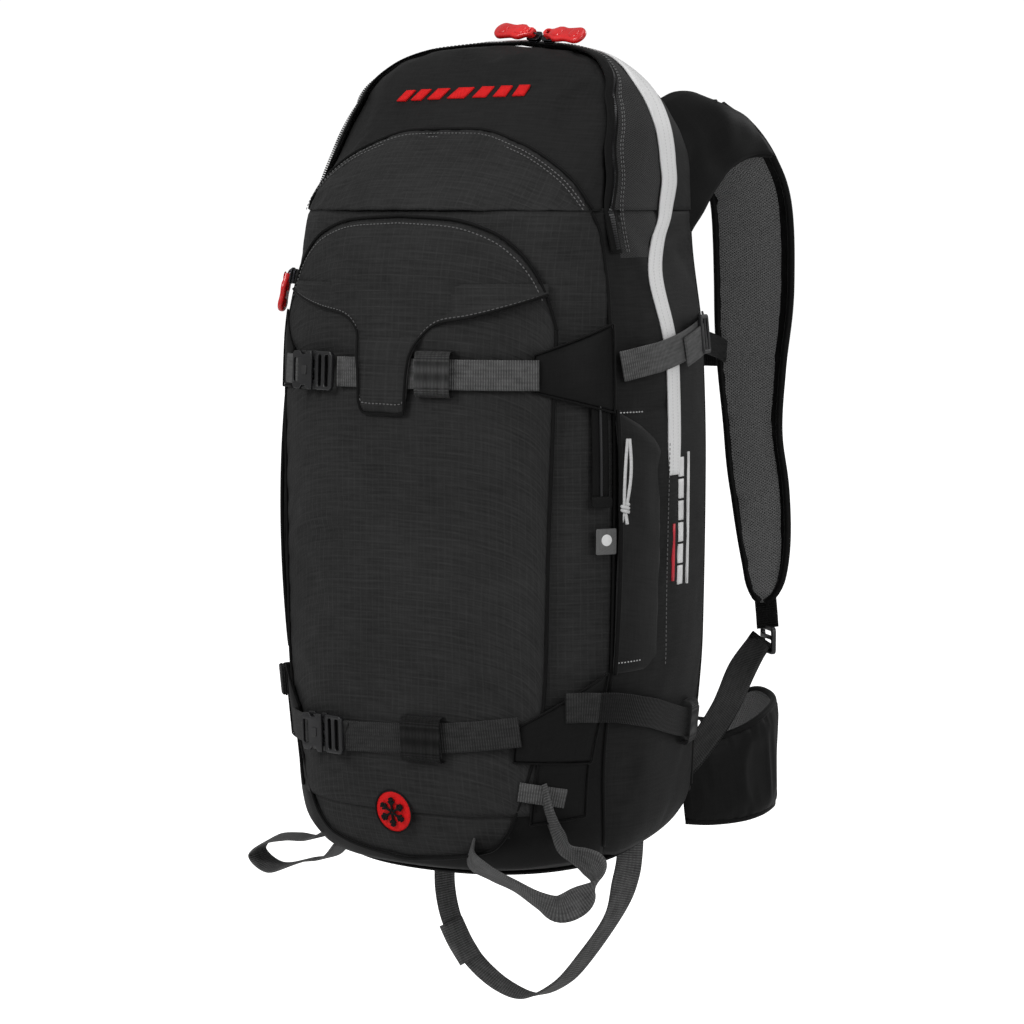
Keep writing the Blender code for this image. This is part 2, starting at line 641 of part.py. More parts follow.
def zips():
    slider("main_zip_left", zip_frame(SLIDER_LEFT_X, -1, SLIDER_OUT), MAIN_PULL)
    slider("main_zip_right", zip_frame(SLIDER_RIGHT_X, 1, SLIDER_OUT), MAIN_PULL)
    m = surface_frame(-0.485, 0.405, 0.0064) @ Matrix.Rotation(-math.pi / 2, 4, "Z")
    slider("tool_zip", m, 0.026)


# ------------------------------------------------------------------ harness
def harness():
    for side, sign in (("left", -1), ("right", 1)):
        pts = [((sign * p[0], p[1], p[2]), h) for p, h in STRAP]
        ribbon("shoulder_strap_" + side, [p for p, h in pts], [h for p, h in pts],
               [(1, 0, 0)] * len(pts), STRAP_T, BLACK, 24, across=3)
        lock_at = Vector((sign * 0.1060, 0.1110, 0.1440))
        block("ladder_lock_" + side, (0.026, 0.0070, 0.020), lock_at, roughness=0.3)
        web = LOWER_WEB if sign > 0 else mirrored(LOWER_WEB)
        ways = [(0.3, 0.9, -0.4)] * 3 + [(0.5, 0.7, -0.4), (0.8, 0.4, -0.2), (1, 0.1, 0), (1, 0, 0)]
        ribbon("lower_webbing_" + side, web, [WEBBING / 2] * len(web),
               [(sign * w[0], w[1], w[2]) for w in ways], WEBBING_T, BLACK, 18)
    yoke()
    sternum()


def yoke():
    """One padded piece behind the neck that carries both shoulder straps."""
    def place(i, j):
        line = spline_points([p for p, h in YOKE], 9)
        k = round(i * 8)
        half = spline_points([(h, 0, 0) for p, h in YOKE], 9)[k].x
        x = (line[k].x + half) * (2 * j - 1)
        dip = 0.010 * math.cos(math.pi * (j - 0.5)) ** 2 * i
        return Vector((-x, line[k].y, line[k].z - dip))
    sheet("shoulder_yoke", 9, 11, place, 0.0075, BLACK)


def sternum():
    """Chest strap: webbing on the left strap, clip in the middle, fork on the right."""
    z, y = 0.348, 0.1300
    clip_pair("sternum", facing_forward((0, y, z)))
    chest_webbing("sternum_webbing_left", -0.0555, -0.0206, y, z)
    chest_webbing("sternum_webbing_right", 0.0110, 0.0555, y + OVER_CLIP, z)


def facing_forward(place):
    """Frame of a clip worn at the front: X to the right, Z away from the wearer."""
    m = Matrix(((1, 0, 0, 0), (0, 0, 1, 0), (0, -1, 0, 0), (0, 0, 0, 1)))
    m.translation = place
    return m


def chest_webbing(name, x0, x1, y, z):
    points = [(x0, y, z), ((x0 + x1) / 2, y, z), (x1, y, z)]
    ribbon(name, points, [WEBBING / 2] * 3, [(0, 0, 1)] * 3, WEBBING_T, BLACK, 5)


def hip_belt():
    for side, sign in (("left", -1), ("right", 1)):
        pts = [((sign * p[0], p[1], p[2]), h) for p, h in WING]
        ribbon("hip_wing_" + side, [p for p, h in pts], [h for p, h in pts],
               [(0, 0, sign)] * len(pts), WING_T, BLACK, 16, across=4)
    y, z = 0.1450, 0.064
    clip_pair("hip", facing_forward((0, y, z)), open_by=HIP_OPEN)
    chest_webbing("hip_webbing_left", -0.0480, -0.0206, y, z)
    chest_webbing("hip_webbing_right", 0.0110 + HIP_OPEN, 0.0480, y + OVER_CLIP, z)


# ------------------------------------------------------------------ inflation system
def inflation():
    """Gas cartridge screwed up into the head that holds the puncture pin, inside the bag."""
    at = Vector((-0.060, -0.046, 0.395))
    head = block("inflation_head", (0.060, 0.044, 0.052), at, METAL, bevel=0.003, metallic=1.0)
    socket = rod("socket_bore", 0.0104, 0.040, at - Vector((0, 0, 0.016)), (0, 0, 0), METAL,
                 collection=CUTTERS)
    cut(head, socket)
    bore = rod("pin_bore", 0.0042, 0.060, at + Vector((0, 0, 0.02)), (0, 0, 0), METAL,
               collection=CUTTERS)
    cut(head, bore)
    rod("puncture_pin", 0.0036, 0.032, at + Vector((0, 0, 0.0262)), (0, 0, 0), METAL,
        metallic=1.0, bevel=0.0008)
    gas_cartridge(at - Vector((0, 0, 0.0045)))


def gas_cartridge(mouth):
    """Turned bottle: neck, shoulder, body and domed end."""
    r, length, neck = 0.026, 0.205, 0.0098
    profile = [(0.0, 0.0), (neck, 0.0), (neck, -0.024), (0.013, -0.027)]
    for k in range(1, 6):
        turn = math.pi / 2 * k / 5
        profile.append((0.013 + (r - 0.013) * math.sin(turn), -0.027 - 0.018 * (1 - math.cos(turn))))
    for k in range(7):
        turn = math.pi / 2 * k / 6
        profile.append((r * math.cos(turn), -length + 0.018 - 0.018 * math.sin(turn)))
    mesh = bpy.data.meshes.new("gas_cartridge")
    bm = bmesh.new()
    verts = [bm.verts.new((x, 0, z)) for x, z in profile[:-1]] + [bm.verts.new((0, 0, -length))]
    for a, b in zip(verts, verts[1:]):
        bm.edges.new((a, b))
    bm.to_mesh(mesh)
    bm.free()
    obj = add("gas_cartridge", mesh, METAL, 0.3, 1.0)
    obj.location = mouth
    spin = obj.modifiers.new("turned", "SCREW")
    spin.steps = spin.render_steps = 28
    spin.use_merge_vertices = True
    spin.merge_threshold = 0.0001


def trigger():
    """Pull handle in its sleeve on the left strap, and the cable from the yoke to the head."""
    handle = [(-0.009, 0.0), (0.009, 0.0), (0.011, 0.012), (0.011, 0.040)]
    for k in range(1, 8):
        turn = math.pi * k / 8
        handle.append((0.011 * math.cos(turn), 0.040 + 0.011 * math.sin(turn)))
    handle += [(-0.011, 0.040), (-0.011, 0.012)]
    home = empty("trigger_home", Matrix.Translation((-0.0865, 0.1375, 0.255))
                 @ Matrix.Rotation(math.pi / 2, 4, "X"))
    outline("trigger_handle", handle, 0.006, RED, parent=home, roughness=0.3)
    tube("release_cable", spline_points(CABLE, 22), 0.0022, PLASTIC)


bag_walls()
airbag_housing()
lid()
main_zip_track()
back_system()
front_straps()
side_pockets()
pocket_cord()
loops()
zips()
harness()
hip_belt()
inflation()
trigger()
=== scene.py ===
"""Looks of the avalanche airbag backpack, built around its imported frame.

Every place is worked out in the bag's own coordinates, u round the bag (0 at the middle of the
front, 1 at the right back corner) and height above the base, and then moved to the frame, whose
origin is the point where the haul loop hangs.  Lengths are metres.
"""

import math

import bmesh
import bpy
import numpy as np
from mathutils import Matrix, Vector


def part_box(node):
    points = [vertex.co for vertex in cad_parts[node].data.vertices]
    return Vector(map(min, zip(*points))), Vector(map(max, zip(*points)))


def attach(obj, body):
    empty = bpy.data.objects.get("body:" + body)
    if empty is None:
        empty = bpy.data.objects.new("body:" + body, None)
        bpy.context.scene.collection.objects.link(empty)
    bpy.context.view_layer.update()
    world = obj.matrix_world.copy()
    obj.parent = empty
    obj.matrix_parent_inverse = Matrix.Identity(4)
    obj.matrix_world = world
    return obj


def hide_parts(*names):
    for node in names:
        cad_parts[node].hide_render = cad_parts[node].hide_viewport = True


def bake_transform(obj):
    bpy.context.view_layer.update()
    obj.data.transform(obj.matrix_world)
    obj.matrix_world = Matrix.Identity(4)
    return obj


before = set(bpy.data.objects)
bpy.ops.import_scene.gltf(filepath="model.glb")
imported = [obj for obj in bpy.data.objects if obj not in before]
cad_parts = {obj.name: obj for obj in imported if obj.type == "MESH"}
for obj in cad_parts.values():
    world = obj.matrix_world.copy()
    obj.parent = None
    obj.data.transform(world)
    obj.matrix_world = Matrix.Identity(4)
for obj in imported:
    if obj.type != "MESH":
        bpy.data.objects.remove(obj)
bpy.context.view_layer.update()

# ------------------------------------------------------------------ the bag's driving dimensions
HANG = np.array((0.0, 0.018, 0.560))
TOP = 0.566
HALF_WIDTH = [(0, 0.110), (0.010, 0.121), (0.035, 0.129), (0.08, 0.132), (0.16, 0.140),
              (0.28, 0.142), (0.36, 0.139), (0.43, 0.128), (0.50, 0.123), (0.53, 0.112),
              (0.549, 0.092), (0.561, 0.060), (TOP, 0.004)]
FRONT_Y = [(0, -0.158), (0.012, -0.178), (0.05, -0.194), (0.10, -0.199), (0.19, -0.2005),
           (0.32, -0.2005), (0.40, -0.197), (0.448, -0.187), (0.475, -0.163), (0.503, -0.139),
           (0.53, -0.120), (0.549, -0.107), (0.561, -0.092), (TOP, -0.068)]
BACK_Y = [(0, 0.0), (0.49, 0.0), (0.52, -0.007), (0.540, -0.024), (0.556, -0.042), (TOP, -0.060)]
BACK_TAPER = [(0, 0.15), (0.48, 0.15), (0.53, 0.30), (0.556, 0.5), (TOP, 0.6)]
ZIP_FRACTION = [(0.42, 0.36), (0.47, 0.29), (0.50, 0.24), (0.525, 0.24), (0.543, 0.31),
                (0.558, 0.43), (TOP, 0.5)]
BURST_FRACTION = [(0.27, 0.625), (0.35, 0.635), (0.37, 0.615), (0.408, 0.575), (0.432, 0.6125),
                  (0.450, 0.669), (0.468, 0.675), (0.486, 0.631), (0.508, 0.58), (0.532, 0.56),
                  (0.548, 0.62), (0.562, 0.85), (TOP, 0.9)]
BASE_SLOPE = 0.16
SHOULDER = 0.6
ROUNDNESS = 2.3
FOLD_Z = 0.452
WEBBING = 0.020
WEBBING_T = 0.0016
CLOTH_T = 0.0016
STEP = 0.0004               # half the length over which a stitch takes its direction
CROWN_GAP = 0.0012          # strips over the crown stop this far below its top
UPPER_STRAP_Z = 0.345       # middles of the front compression straps
LOWER_STRAP_Z = 0.101
INNER_ARCH = 0.338          # half spans of the two arched pockets, in u
OUTER_ARCH = 0.440
POCKET_U = 0.486            # front edge of a side pocket, its width in u, and its foot
POCKET_WIDTH = 0.172
POCKET_LOW = 0.146
BURST_MARGIN = 0.034        # half the gap that the burst zip leaves between its two cloths, in u
BACK_PAD = (0.050, 0.475)   # lower and upper edge of the back padding
CLIP_RIM = 0.003            # a side release clip stands this far past its webbing
LAP = 0.0001                # the flap's cloth starts this far above the fold
SIDES = (("left", -1), ("right", 1))
ZIP_SHIFT = 0.018
ZIP_END = 0.424             # lower end of the main zip
BURST_LOW = 0.276           # lower end of the burst zip

STRAP = [((0.078, 0.050, 0.5215), 0.030), ((0.084, 0.072, 0.508), 0.032),
         ((0.090, 0.092, 0.484), 0.032), ((0.0925, 0.106, 0.455), 0.032),
         ((0.088, 0.118, 0.400), 0.031), ((0.084, 0.122, 0.345), 0.027),
         ((0.086, 0.122, 0.287), 0.023), ((0.0935, 0.120, 0.245), 0.023),
         ((0.0995, 0.117, 0.201), 0.020), ((0.1005, 0.113, 0.170), 0.012)]
YOKE = [((0.060, 0.0150, 0.483), 0.050), ((0.062, 0.0190, 0.503), 0.046),
        ((0.068, 0.0270, 0.517), 0.040), ((0.074, 0.0380, 0.522), 0.034)]
WING = [((0.088, 0.0245, 0.048), 0.026), ((0.104, 0.0370, 0.050), 0.030),
        ((0.1165, 0.0620, 0.054), 0.033), ((0.1180, 0.0880, 0.059), 0.036),
        ((0.1070, 0.1165, 0.063), 0.037), ((0.0820, 0.1375, 0.067), 0.035),
        ((0.0500, 0.1470, 0.066), 0.024)]
HEM = 0.0016                # the panels below the fold run on this far under the flap
WEB_RUN = [(0.0640, -0.0080, 0.0220), (0.0795, -0.0020, 0.0320), (0.0965, 0.0060, 0.0586),
           (0.1030, 0.0200, 0.0735), (0.1070, 0.0400, 0.0920), (0.1070, 0.0550, 0.1055),
           (0.1020, 0.0800, 0.1225), (0.1010, 0.1000, 0.1370), (0.1040, 0.1080, 0.1440)]
LOOP_TWIST = [(0.88, -0.47, 0), (0.85, -0.45, 0.2), (0.6, -0.2, 0.6), (0.4, 0.1, 0.9),
              (0.4, 0.3, 0.85), (0.5, 0.4, 0.75), (0.6, 0.1, 0.75), (0.68, -0.45, 0.55),
              (0.68, -0.62, 0.38), (0.68, -0.62, 0.38)]
WEB_WAYS = [(0.3, 0.9, -0.4)] * 4 + [(0.4, 0.8, -0.4), (0.5, 0.7, -0.4), (0.8, 0.4, -0.2),
                                     (1, 0.3, 0), (0.8, 0.6, 0)]
TOOL_LOOP_RIGHT = [(0.1111, -0.1660, 0.0444), (0.1189, -0.1670, 0.0333), (0.1326, -0.1650, 0.0272),
                   (0.1448, -0.1680, 0.0230), (0.1486, -0.1760, 0.0154), (0.1422, -0.1850, 0.0056),
                   (0.1312, -0.1920, -0.0004), (0.1188, -0.1970, 0.0042), (0.1004, -0.1990, 0.0124),
                   (0.0791, -0.1970, 0.0187)]
TOOL_LOOP_LEFT = [((-0.1080, -0.1450, 0.015), (0, 1, 0)), ((-0.1300, -0.1420, 0.013), (0, 1, 0.1)),
                  ((-0.1530, -0.1380, 0.008), (0, 1, 0.2)),
                  ((-0.1670, -0.1360, -0.003), (0, 1, 0.2)),
                  ((-0.1500, -0.1360, -0.012), (0, 1, 0.2)),
                  ((-0.1200, -0.1390, -0.003), (0, 1, 0)), ((-0.0960, -0.1430, 0.003), (0, 1, 0))]
LEG_LOOP = [(-0.0286, -0.1000, 0.0050), (-0.0280, -0.1000, -0.0200), (-0.0220, -0.0990, -0.0430),
            (-0.0080, -0.0960, -0.0660), (0.0120, -0.0890, -0.0840), (0.0320, -0.0810, -0.0905),
            (0.0530, -0.0750, -0.0800), (0.0700, -0.0700, -0.0600), (0.0895, -0.0650, -0.0300),
            (0.0970, -0.0620, -0.0050), (0.0990, -0.0600, 0.0110)]


# ------------------------------------------------------------------ camera, light and floor
CAMERA = (math.radians(35), math.radians(5), 2.5)       # azimuth, elevation, distance
CAMERA_TARGET = (-0.00634, -0.068, -0.31835)
LENS = 125.8                # millimetres, on a 36 mm sensor
SKY_LIGHT = 0.34            # strength of the sky as a light
SKY_SEEN = 1.05             # and as the camera sees it
LAMPS = (("key", (-0.9, -2.4, 1.3), 1.2, 38), ("fill", (2.4, -1.0, 0.6), 1.6, 22),
         ("top", (0.2, -0.2, 2.2), 1.6, 14), ("rim", (0.8, 2.2, 0.9), 1.2, 10))


def studio():
    """Camera at eye height on the bag's front right, soft light all round, pale floor."""
    azimuth, elevation, distance = CAMERA
    target = Vector(CAMERA_TARGET)
    back = Vector((math.sin(azimuth) * math.cos(elevation),
                   -math.cos(azimuth) * math.cos(elevation), math.sin(elevation)))
    cam = bpy.data.objects.new("camera", bpy.data.cameras.new("camera"))
    bpy.context.scene.collection.objects.link(cam)
    cam.location = target + back * distance
    cam.rotation_mode = "QUATERNION"
    cam.rotation_quaternion = (-back).to_track_quat("-Z", "Y")
    cam.data.sensor_width = 36
    cam.data.lens = LENS
    cam.data.clip_start, cam.data.clip_end = 0.05, 50
    bpy.context.scene.camera = cam

    world = bpy.data.worlds.new("studio")
    bpy.context.scene.world = world
    world.use_nodes = True
    world.node_tree.nodes["Background"].inputs["Color"].default_value = (1, 1, 1, 1)
    nodes, links = world.node_tree.nodes, world.node_tree.links
    seen = nodes.new("ShaderNodeLightPath")
    level = nodes.new("ShaderNodeMapRange")
    level.inputs["To Min"].default_value = SKY_LIGHT
    level.inputs["To Max"].default_value = SKY_SEEN
    links.new(seen.outputs["Is Camera Ray"], level.inputs["Value"])
    links.new(level.outputs["Result"], nodes["Background"].inputs["Strength"])
    for name, place, size, power in LAMPS:
        lamp = bpy.data.lights.new(name, "AREA")
        lamp.size, lamp.energy = size, power
        obj = bpy.data.objects.new(name, lamp)
        bpy.context.scene.collection.objects.link(obj)
        obj.location = place
        obj.rotation_mode = "QUATERNION"
        aim = Vector((0, -0.08, -0.3)) - Vector(place)
        obj.rotation_quaternion = aim.to_track_quat("-Z", "Y")
    bpy.context.scene.view_settings.view_transform = "Standard"

    bpy.ops.mesh.primitive_plane_add(size=30, location=(0, 0, -0.95))
    floor = bpy.context.object
    floor.name = "floor"
    mat = bpy.data.materials.new("floor")
    mat.use_nodes = True
    shader = mat.node_tree.nodes["Principled BSDF"]
    shader.inputs["Base Color"].default_value = (0.80, 0.80, 0.80, 1)
    shader.inputs["Emission Color"].default_value = (1, 1, 1, 1)
    seen = mat.node_tree.nodes.new("ShaderNodeLightPath")
    mat.node_tree.links.new(seen.outputs["Is Camera Ray"], shader.inputs["Emission Strength"])
    shader.inputs["Roughness"].default_value = 0.9
    floor.data.materials.append(mat)


# ------------------------------------------------------------------ materials
class Shade:
    """A Principled material with helpers for its nodes."""

    def __init__(self, name, colour, roughness, metallic=0.0, sheen=0.0, specular=0.5, coat=0.0):
        self.mat = bpy.data.materials.new(name)
        self.mat.use_nodes = True
        self.tree = self.mat.node_tree
        self.shader = self.tree.nodes["Principled BSDF"]
        self.set("Base Color", (*colour, 1))
        self.set("Roughness", roughness)
        self.set("Metallic", metallic)
        self.set("Sheen Weight", sheen)
        self.set("Sheen Roughness", 0.4)
        self.set("Specular IOR Level", specular)
        self.set("Coat Weight", coat)
        self.mat.diffuse_color = (*colour, 1)

    def set(self, socket, value):
        self.shader.inputs[socket].default_value = value

    def node(self, kind, **values):
        made = self.tree.nodes.new("ShaderNode" + kind)
        for key, value in values.items():
            setattr(made, key, value)
        return made

    def link(self, a, b):
        self.tree.links.new(a, b)

    def math(self, operation, a, b=None, c=None, clamp=False):
        made = self.node("Math", operation=operation, use_clamp=clamp)
        for k, value in enumerate((a, b, c)):
            if value is None:
                continue
            if isinstance(value, (int, float)):
                made.inputs[k].default_value = value
            else:
                self.link(value, made.inputs[k])
        return made.outputs[0]

    def coordinates(self, on_surface=True):
        """Metres along the piece's own surface, or the frame's metres for a frame node."""
        if on_surface:
            return self.node("UVMap", uv_map="UVMap").outputs["UV"]
        return self.node("TexCoord").outputs["Object"]

    def scaled(self, vector, scale):
        mapping = self.node("Mapping")
        mapping.inputs["Scale"].default_value = scale
        self.link(vector, mapping.inputs["Vector"])
        return mapping.outputs["Vector"]

    def noise(self, vector, scale=1.0, detail=3.0, roughness=0.55):
        made = self.node("TexNoise")
        made.inputs["Scale"].default_value = scale
        made.inputs["Detail"].default_value = detail
        made.inputs["Roughness"].default_value = roughness
        self.link(vector, made.inputs["Vector"])
        return made.outputs["Fac"]

    def ramp(self, value, stops):
        made = self.node("ValToRGB")
        cells = made.color_ramp.elements
        cells[0].position, cells[0].color = stops[0][0], (*stops[0][1], 1)
        cells[1].position, cells[1].color = stops[-1][0], (*stops[-1][1], 1)
        for place, colour in stops[1:-1]:
            cell = cells.new(place)
            cell.color = (*colour, 1)
        self.link(value, made.inputs["Fac"])
        return made.outputs["Color"]

    def bump(self, height, strength, distance):
        made = self.node("Bump")
        made.inputs["Strength"].default_value = strength
        made.inputs["Distance"].default_value = distance
        self.link(height, made.inputs["Height"])
        self.link(made.outputs["Normal"], self.shader.inputs["Normal"])

    def wave(self, coordinate, pitch):
        """0 to 1 and back over each pitch of the coordinate."""
        turn = self.math("MULTIPLY", coordinate, 2 * math.pi / pitch)
        return self.math("MULTIPLY_ADD", self.math("SINE", turn), 0.5, 0.5)

    def axes(self, vector):
        made = self.node("SeparateXYZ")
        self.link(vector, made.inputs[0])
        return made.outputs["X"], made.outputs["Y"]


def grey(value, warm=0.0):
    return (value * (1 + warm), value, value * (1 - warm))


def woven(name, dark, light, slub=1.0, grid=0.0, roughness=0.72, sheen=0.12, bump=0.35):
    """Woven cloth: slubs along both threads, a ripstop grid if asked, and the weave in its bump."""
    s = Shade(name, grey(0.5 * (dark + light)), roughness, sheen=0.3 * sheen, specular=0.10)
    uv = s.coordinates()
    weft = s.noise(s.scaled(uv, (45, 620, 1)), detail=2)
    warp = s.noise(s.scaled(uv, (620, 60, 1)), detail=2)
    cloud = s.noise(s.scaled(uv, (14, 14, 1)), detail=3)
    threads = s.math("ADD", s.math("MULTIPLY", weft, 0.66 * slub), s.math("MULTIPLY", warp, 0.34))
    tone = s.math("ADD", s.math("MULTIPLY", threads, 0.7), s.math("MULTIPLY", cloud, 0.3))
    x, y = s.axes(uv)
    height = threads
    if grid:
        rib_x = s.math("POWER", s.wave(x, 0.0052), 14)
        rib_y = s.math("POWER", s.wave(y, 0.0052), 14)
        ribs = s.math("MAXIMUM", rib_x, rib_y)
        tone = s.math("ADD", tone, s.math("MULTIPLY", ribs, grid))
        height = s.math("ADD", height, s.math("MULTIPLY", ribs, 0.8))
    fine = s.math("MULTIPLY", s.wave(x, 0.0009), s.wave(y, 0.0009))
    height = s.math("ADD", height, s.math("MULTIPLY", fine, 0.35))
    s.link(s.ramp(tone, [(0.30, grey(dark)), (0.72, grey(light))]), s.shader.inputs["Base Color"])
    s.bump(height, bump, 0.0006)
    return s.mat


def dotted(name, dark, light, pitch=0.0030, roughness=0.8, bump=0.7, sheen=0.3):
    """Spacer mesh: staggered rows of small holes."""
    s = Shade(name, grey(0.5 * (dark + light)), roughness, sheen=0.2 * sheen, specular=0.10)
    uv = s.coordinates()
    x, y = s.axes(uv)
    a = s.math("MULTIPLY", s.wave(x, pitch), s.wave(y, pitch * 0.62))
    moved = s.math("ADD", x, pitch / 2)
    lowered = s.math("ADD", y, pitch * 0.31)
    b = s.math("MULTIPLY", s.wave(moved, pitch), s.wave(lowered, pitch * 0.62))
    holes = s.math("POWER", s.math("MAXIMUM", a, b), 3.0)
    cloud = s.noise(s.scaled(uv, (20, 20, 1)))
    tone = s.math("ADD", s.math("MULTIPLY", s.math("SUBTRACT", 1.0, holes), 0.75),
                  s.math("MULTIPLY", cloud, 0.25))
    s.link(s.ramp(tone, [(0.1, grey(dark)), (0.85, grey(light))]), s.shader.inputs["Base Color"])
    s.bump(s.math("SUBTRACT", 1.0, holes), bump, 0.0008)
    return s.mat


def ribbed(name, dark, light, roughness=0.62, sheen=0.15):
    """Polyamide webbing: cords across its width and a little dust."""
    s = Shade(name, grey(0.5 * (dark + light)), roughness, sheen=0.3 * sheen, specular=0.15)
    uv = s.coordinates()
    x, y = s.axes(uv)
    cords = s.wave(y, 0.0017)
    rows = s.wave(x, 0.0026)
    weave = s.math("ADD", s.math("MULTIPLY", cords, 0.65),
                   s.math("MULTIPLY", s.math("MULTIPLY", rows, cords), 0.55))
    dust = s.noise(s.scaled(uv, (260, 90, 1)), detail=4)
    tone = s.math("ADD", s.math("MULTIPLY", weave, 0.35), s.math("MULTIPLY", dust, 0.65))
    s.link(s.ramp(tone, [(0.25, grey(dark)), (0.75, grey(light))]), s.shader.inputs["Base Color"])
    s.bump(weave, 0.65, 0.0006)
    return s.mat


def moulded(name, colour, roughness, on_surface=False, coat=0.0, specular=0.5):
    """Moulded plastic with a fine spark-eroded texture."""
    s = Shade(name, colour, roughness, specular=specular, coat=coat)
    where = s.coordinates(on_surface)
    grain = s.noise(s.scaled(where, (1800, 1800, 1800)), detail=2)
    haze = s.noise(s.scaled(where, (60, 60, 60)), detail=3)
    level = s.math("MULTIPLY_ADD", haze, 0.22, roughness - 0.1)
    s.link(level, s.shader.inputs["Roughness"])
    shade = tuple(0.75 * c for c in colour)
    s.link(s.ramp(haze, [(0.3, shade), (0.7, colour)]), s.shader.inputs["Base Color"])
    s.bump(grain, 0.12, 0.0002)
    return s.mat


def metal(name, colour, roughness, brushed=(40, 40, 900)):
    s = Shade(name, colour, roughness, metallic=1.0)
    where = s.coordinates(False)
    lines = s.noise(s.scaled(where, brushed), detail=3)
    level = s.math("MULTIPLY_ADD", lines, 0.25, roughness - 0.1)
    s.link(level, s.shader.inputs["Roughness"])
    shade = tuple(0.8 * c for c in colour)
    s.link(s.ramp(lines, [(0.3, shade), (0.7, colour)]), s.shader.inputs["Base Color"])
    s.bump(lines, 0.08, 0.0002)
    return s.mat


def tape(name, colour, dots):
    """Coated zip tape with a row of stitches inside each edge; x of its UV is 0 at its middle."""
    s = Shade(name, colour, 0.5, sheen=0.1)
    uv = s.coordinates()
    x, y = s.axes(uv)
    side = s.math("ABSOLUTE", x)
    near = s.math("SUBTRACT", 1.0, s.math("MULTIPLY", s.math("ABSOLUTE", s.math(
        "SUBTRACT", side, 0.0036)), 1 / 0.0006), clamp=True)
    stitch = s.math("MULTIPLY", near, s.math("GREATER_THAN", s.wave(y, 0.0022), 0.45))
    grain = s.noise(s.scaled(uv, (900, 900, 1)), detail=2)
    tone = s.math("SUBTRACT", s.math("MULTIPLY_ADD", grain, 0.2, 0.5),
                  s.math("MULTIPLY", stitch, dots))
    low = tuple(0.55 * c for c in colour)
    s.link(s.ramp(tone, [(0.3, low), (0.95, colour)]), s.shader.inputs["Base Color"])
    s.bump(s.math("SUBTRACT", grain, s.math("MULTIPLY", stitch, 2.0)), 0.4, 0.0004)
    return s.mat


MATS = {
    "ripstop": woven("ripstop", 0.010, 0.030, slub=1.1, grid=0.10, roughness=0.66, sheen=0.05),
    "nylon": woven("nylon", 0.007, 0.018, slub=0.9, roughness=0.60, sheen=0.03),
    "satin": woven("satin", 0.004, 0.009, slub=0.6, roughness=0.5, sheen=0.05, bump=0.2),
    "stretch": woven("stretch", 0.012, 0.028, slub=0.5, roughness=0.8, sheen=0.3, bump=0.25),
    "knit": dotted("knit", 0.006, 0.040, 0.0026),
    "foam_mesh": dotted("foam_mesh", 0.075, 0.200, 0.0032),
    "back_mesh": dotted("back_mesh", 0.004, 0.020, 0.0036),
    "binding": woven("binding", 0.003, 0.008, slub=0.4, roughness=0.6, bump=0.2),
    "web_grey": ribbed("web_grey", 0.034, 0.115),
    "web_dark": ribbed("web_dark", 0.010, 0.034),
    "web_black": ribbed("web_black", 0.003, 0.009),
    "white_tape": tape("white_tape", (0.95, 0.95, 0.95), 0.45),
    "trim_grey": woven("trim_grey", 0.10, 0.22, slub=0.4),
    "plastic": moulded("plastic", (0.008, 0.008, 0.009), 0.36),
    "plastic_soft": moulded("plastic_soft", (0.016, 0.016, 0.017), 0.5),
    "red": moulded("red", (0.78, 0.010, 0.012), 0.28, coat=0.4),
    "cord": woven("cord", 0.42, 0.66, roughness=0.85, sheen=0.4),
    "thread": woven("thread", 0.10, 0.18, roughness=0.7),
    "thread_light": woven("thread_light", 0.34, 0.55, roughness=0.7),
    "thread_dark": woven("thread_dark", 0.004, 0.010, roughness=0.7),
    "alloy": metal("alloy", (0.60, 0.61, 0.63), 0.34),
    "steel": metal("steel", (0.50, 0.51, 0.53), 0.28, (900, 900, 30)),
    "black_metal": metal("black_metal", (0.05, 0.05, 0.055), 0.35),
    "airbag": woven("airbag", 0.30, 0.45, roughness=0.55),
    "print_white": moulded("print_white", (0.78, 0.78, 0.78), 0.5),
    "print_red": moulded("print_red", (0.62, 0.012, 0.03), 0.5),
}


def red_cloth():
    """Embroidery thread, red, for the patch and the bars on the flap."""
    s = Shade("embroidery", (0.70, 0.010, 0.012), 0.60, specular=0.15)
    uv = s.coordinates()
    x, y = s.axes(uv)
    rows = s.wave(s.math("ADD", x, s.math("MULTIPLY", y, 0.4)), 0.0008)
    cloud = s.noise(s.scaled(uv, (300, 300, 1)))
    tone = s.math("ADD", s.math("MULTIPLY", rows, 0.5), s.math("MULTIPLY", cloud, 0.5))
    s.link(s.ramp(tone, [(0.2, (0.46, 0.004, 0.006)), (0.8, (0.86, 0.014, 0.014))]),
           s.shader.inputs["Base Color"])
    s.bump(rows, 0.5, 0.0004)
    return s.mat


MATS["embroidery"] = red_cloth()


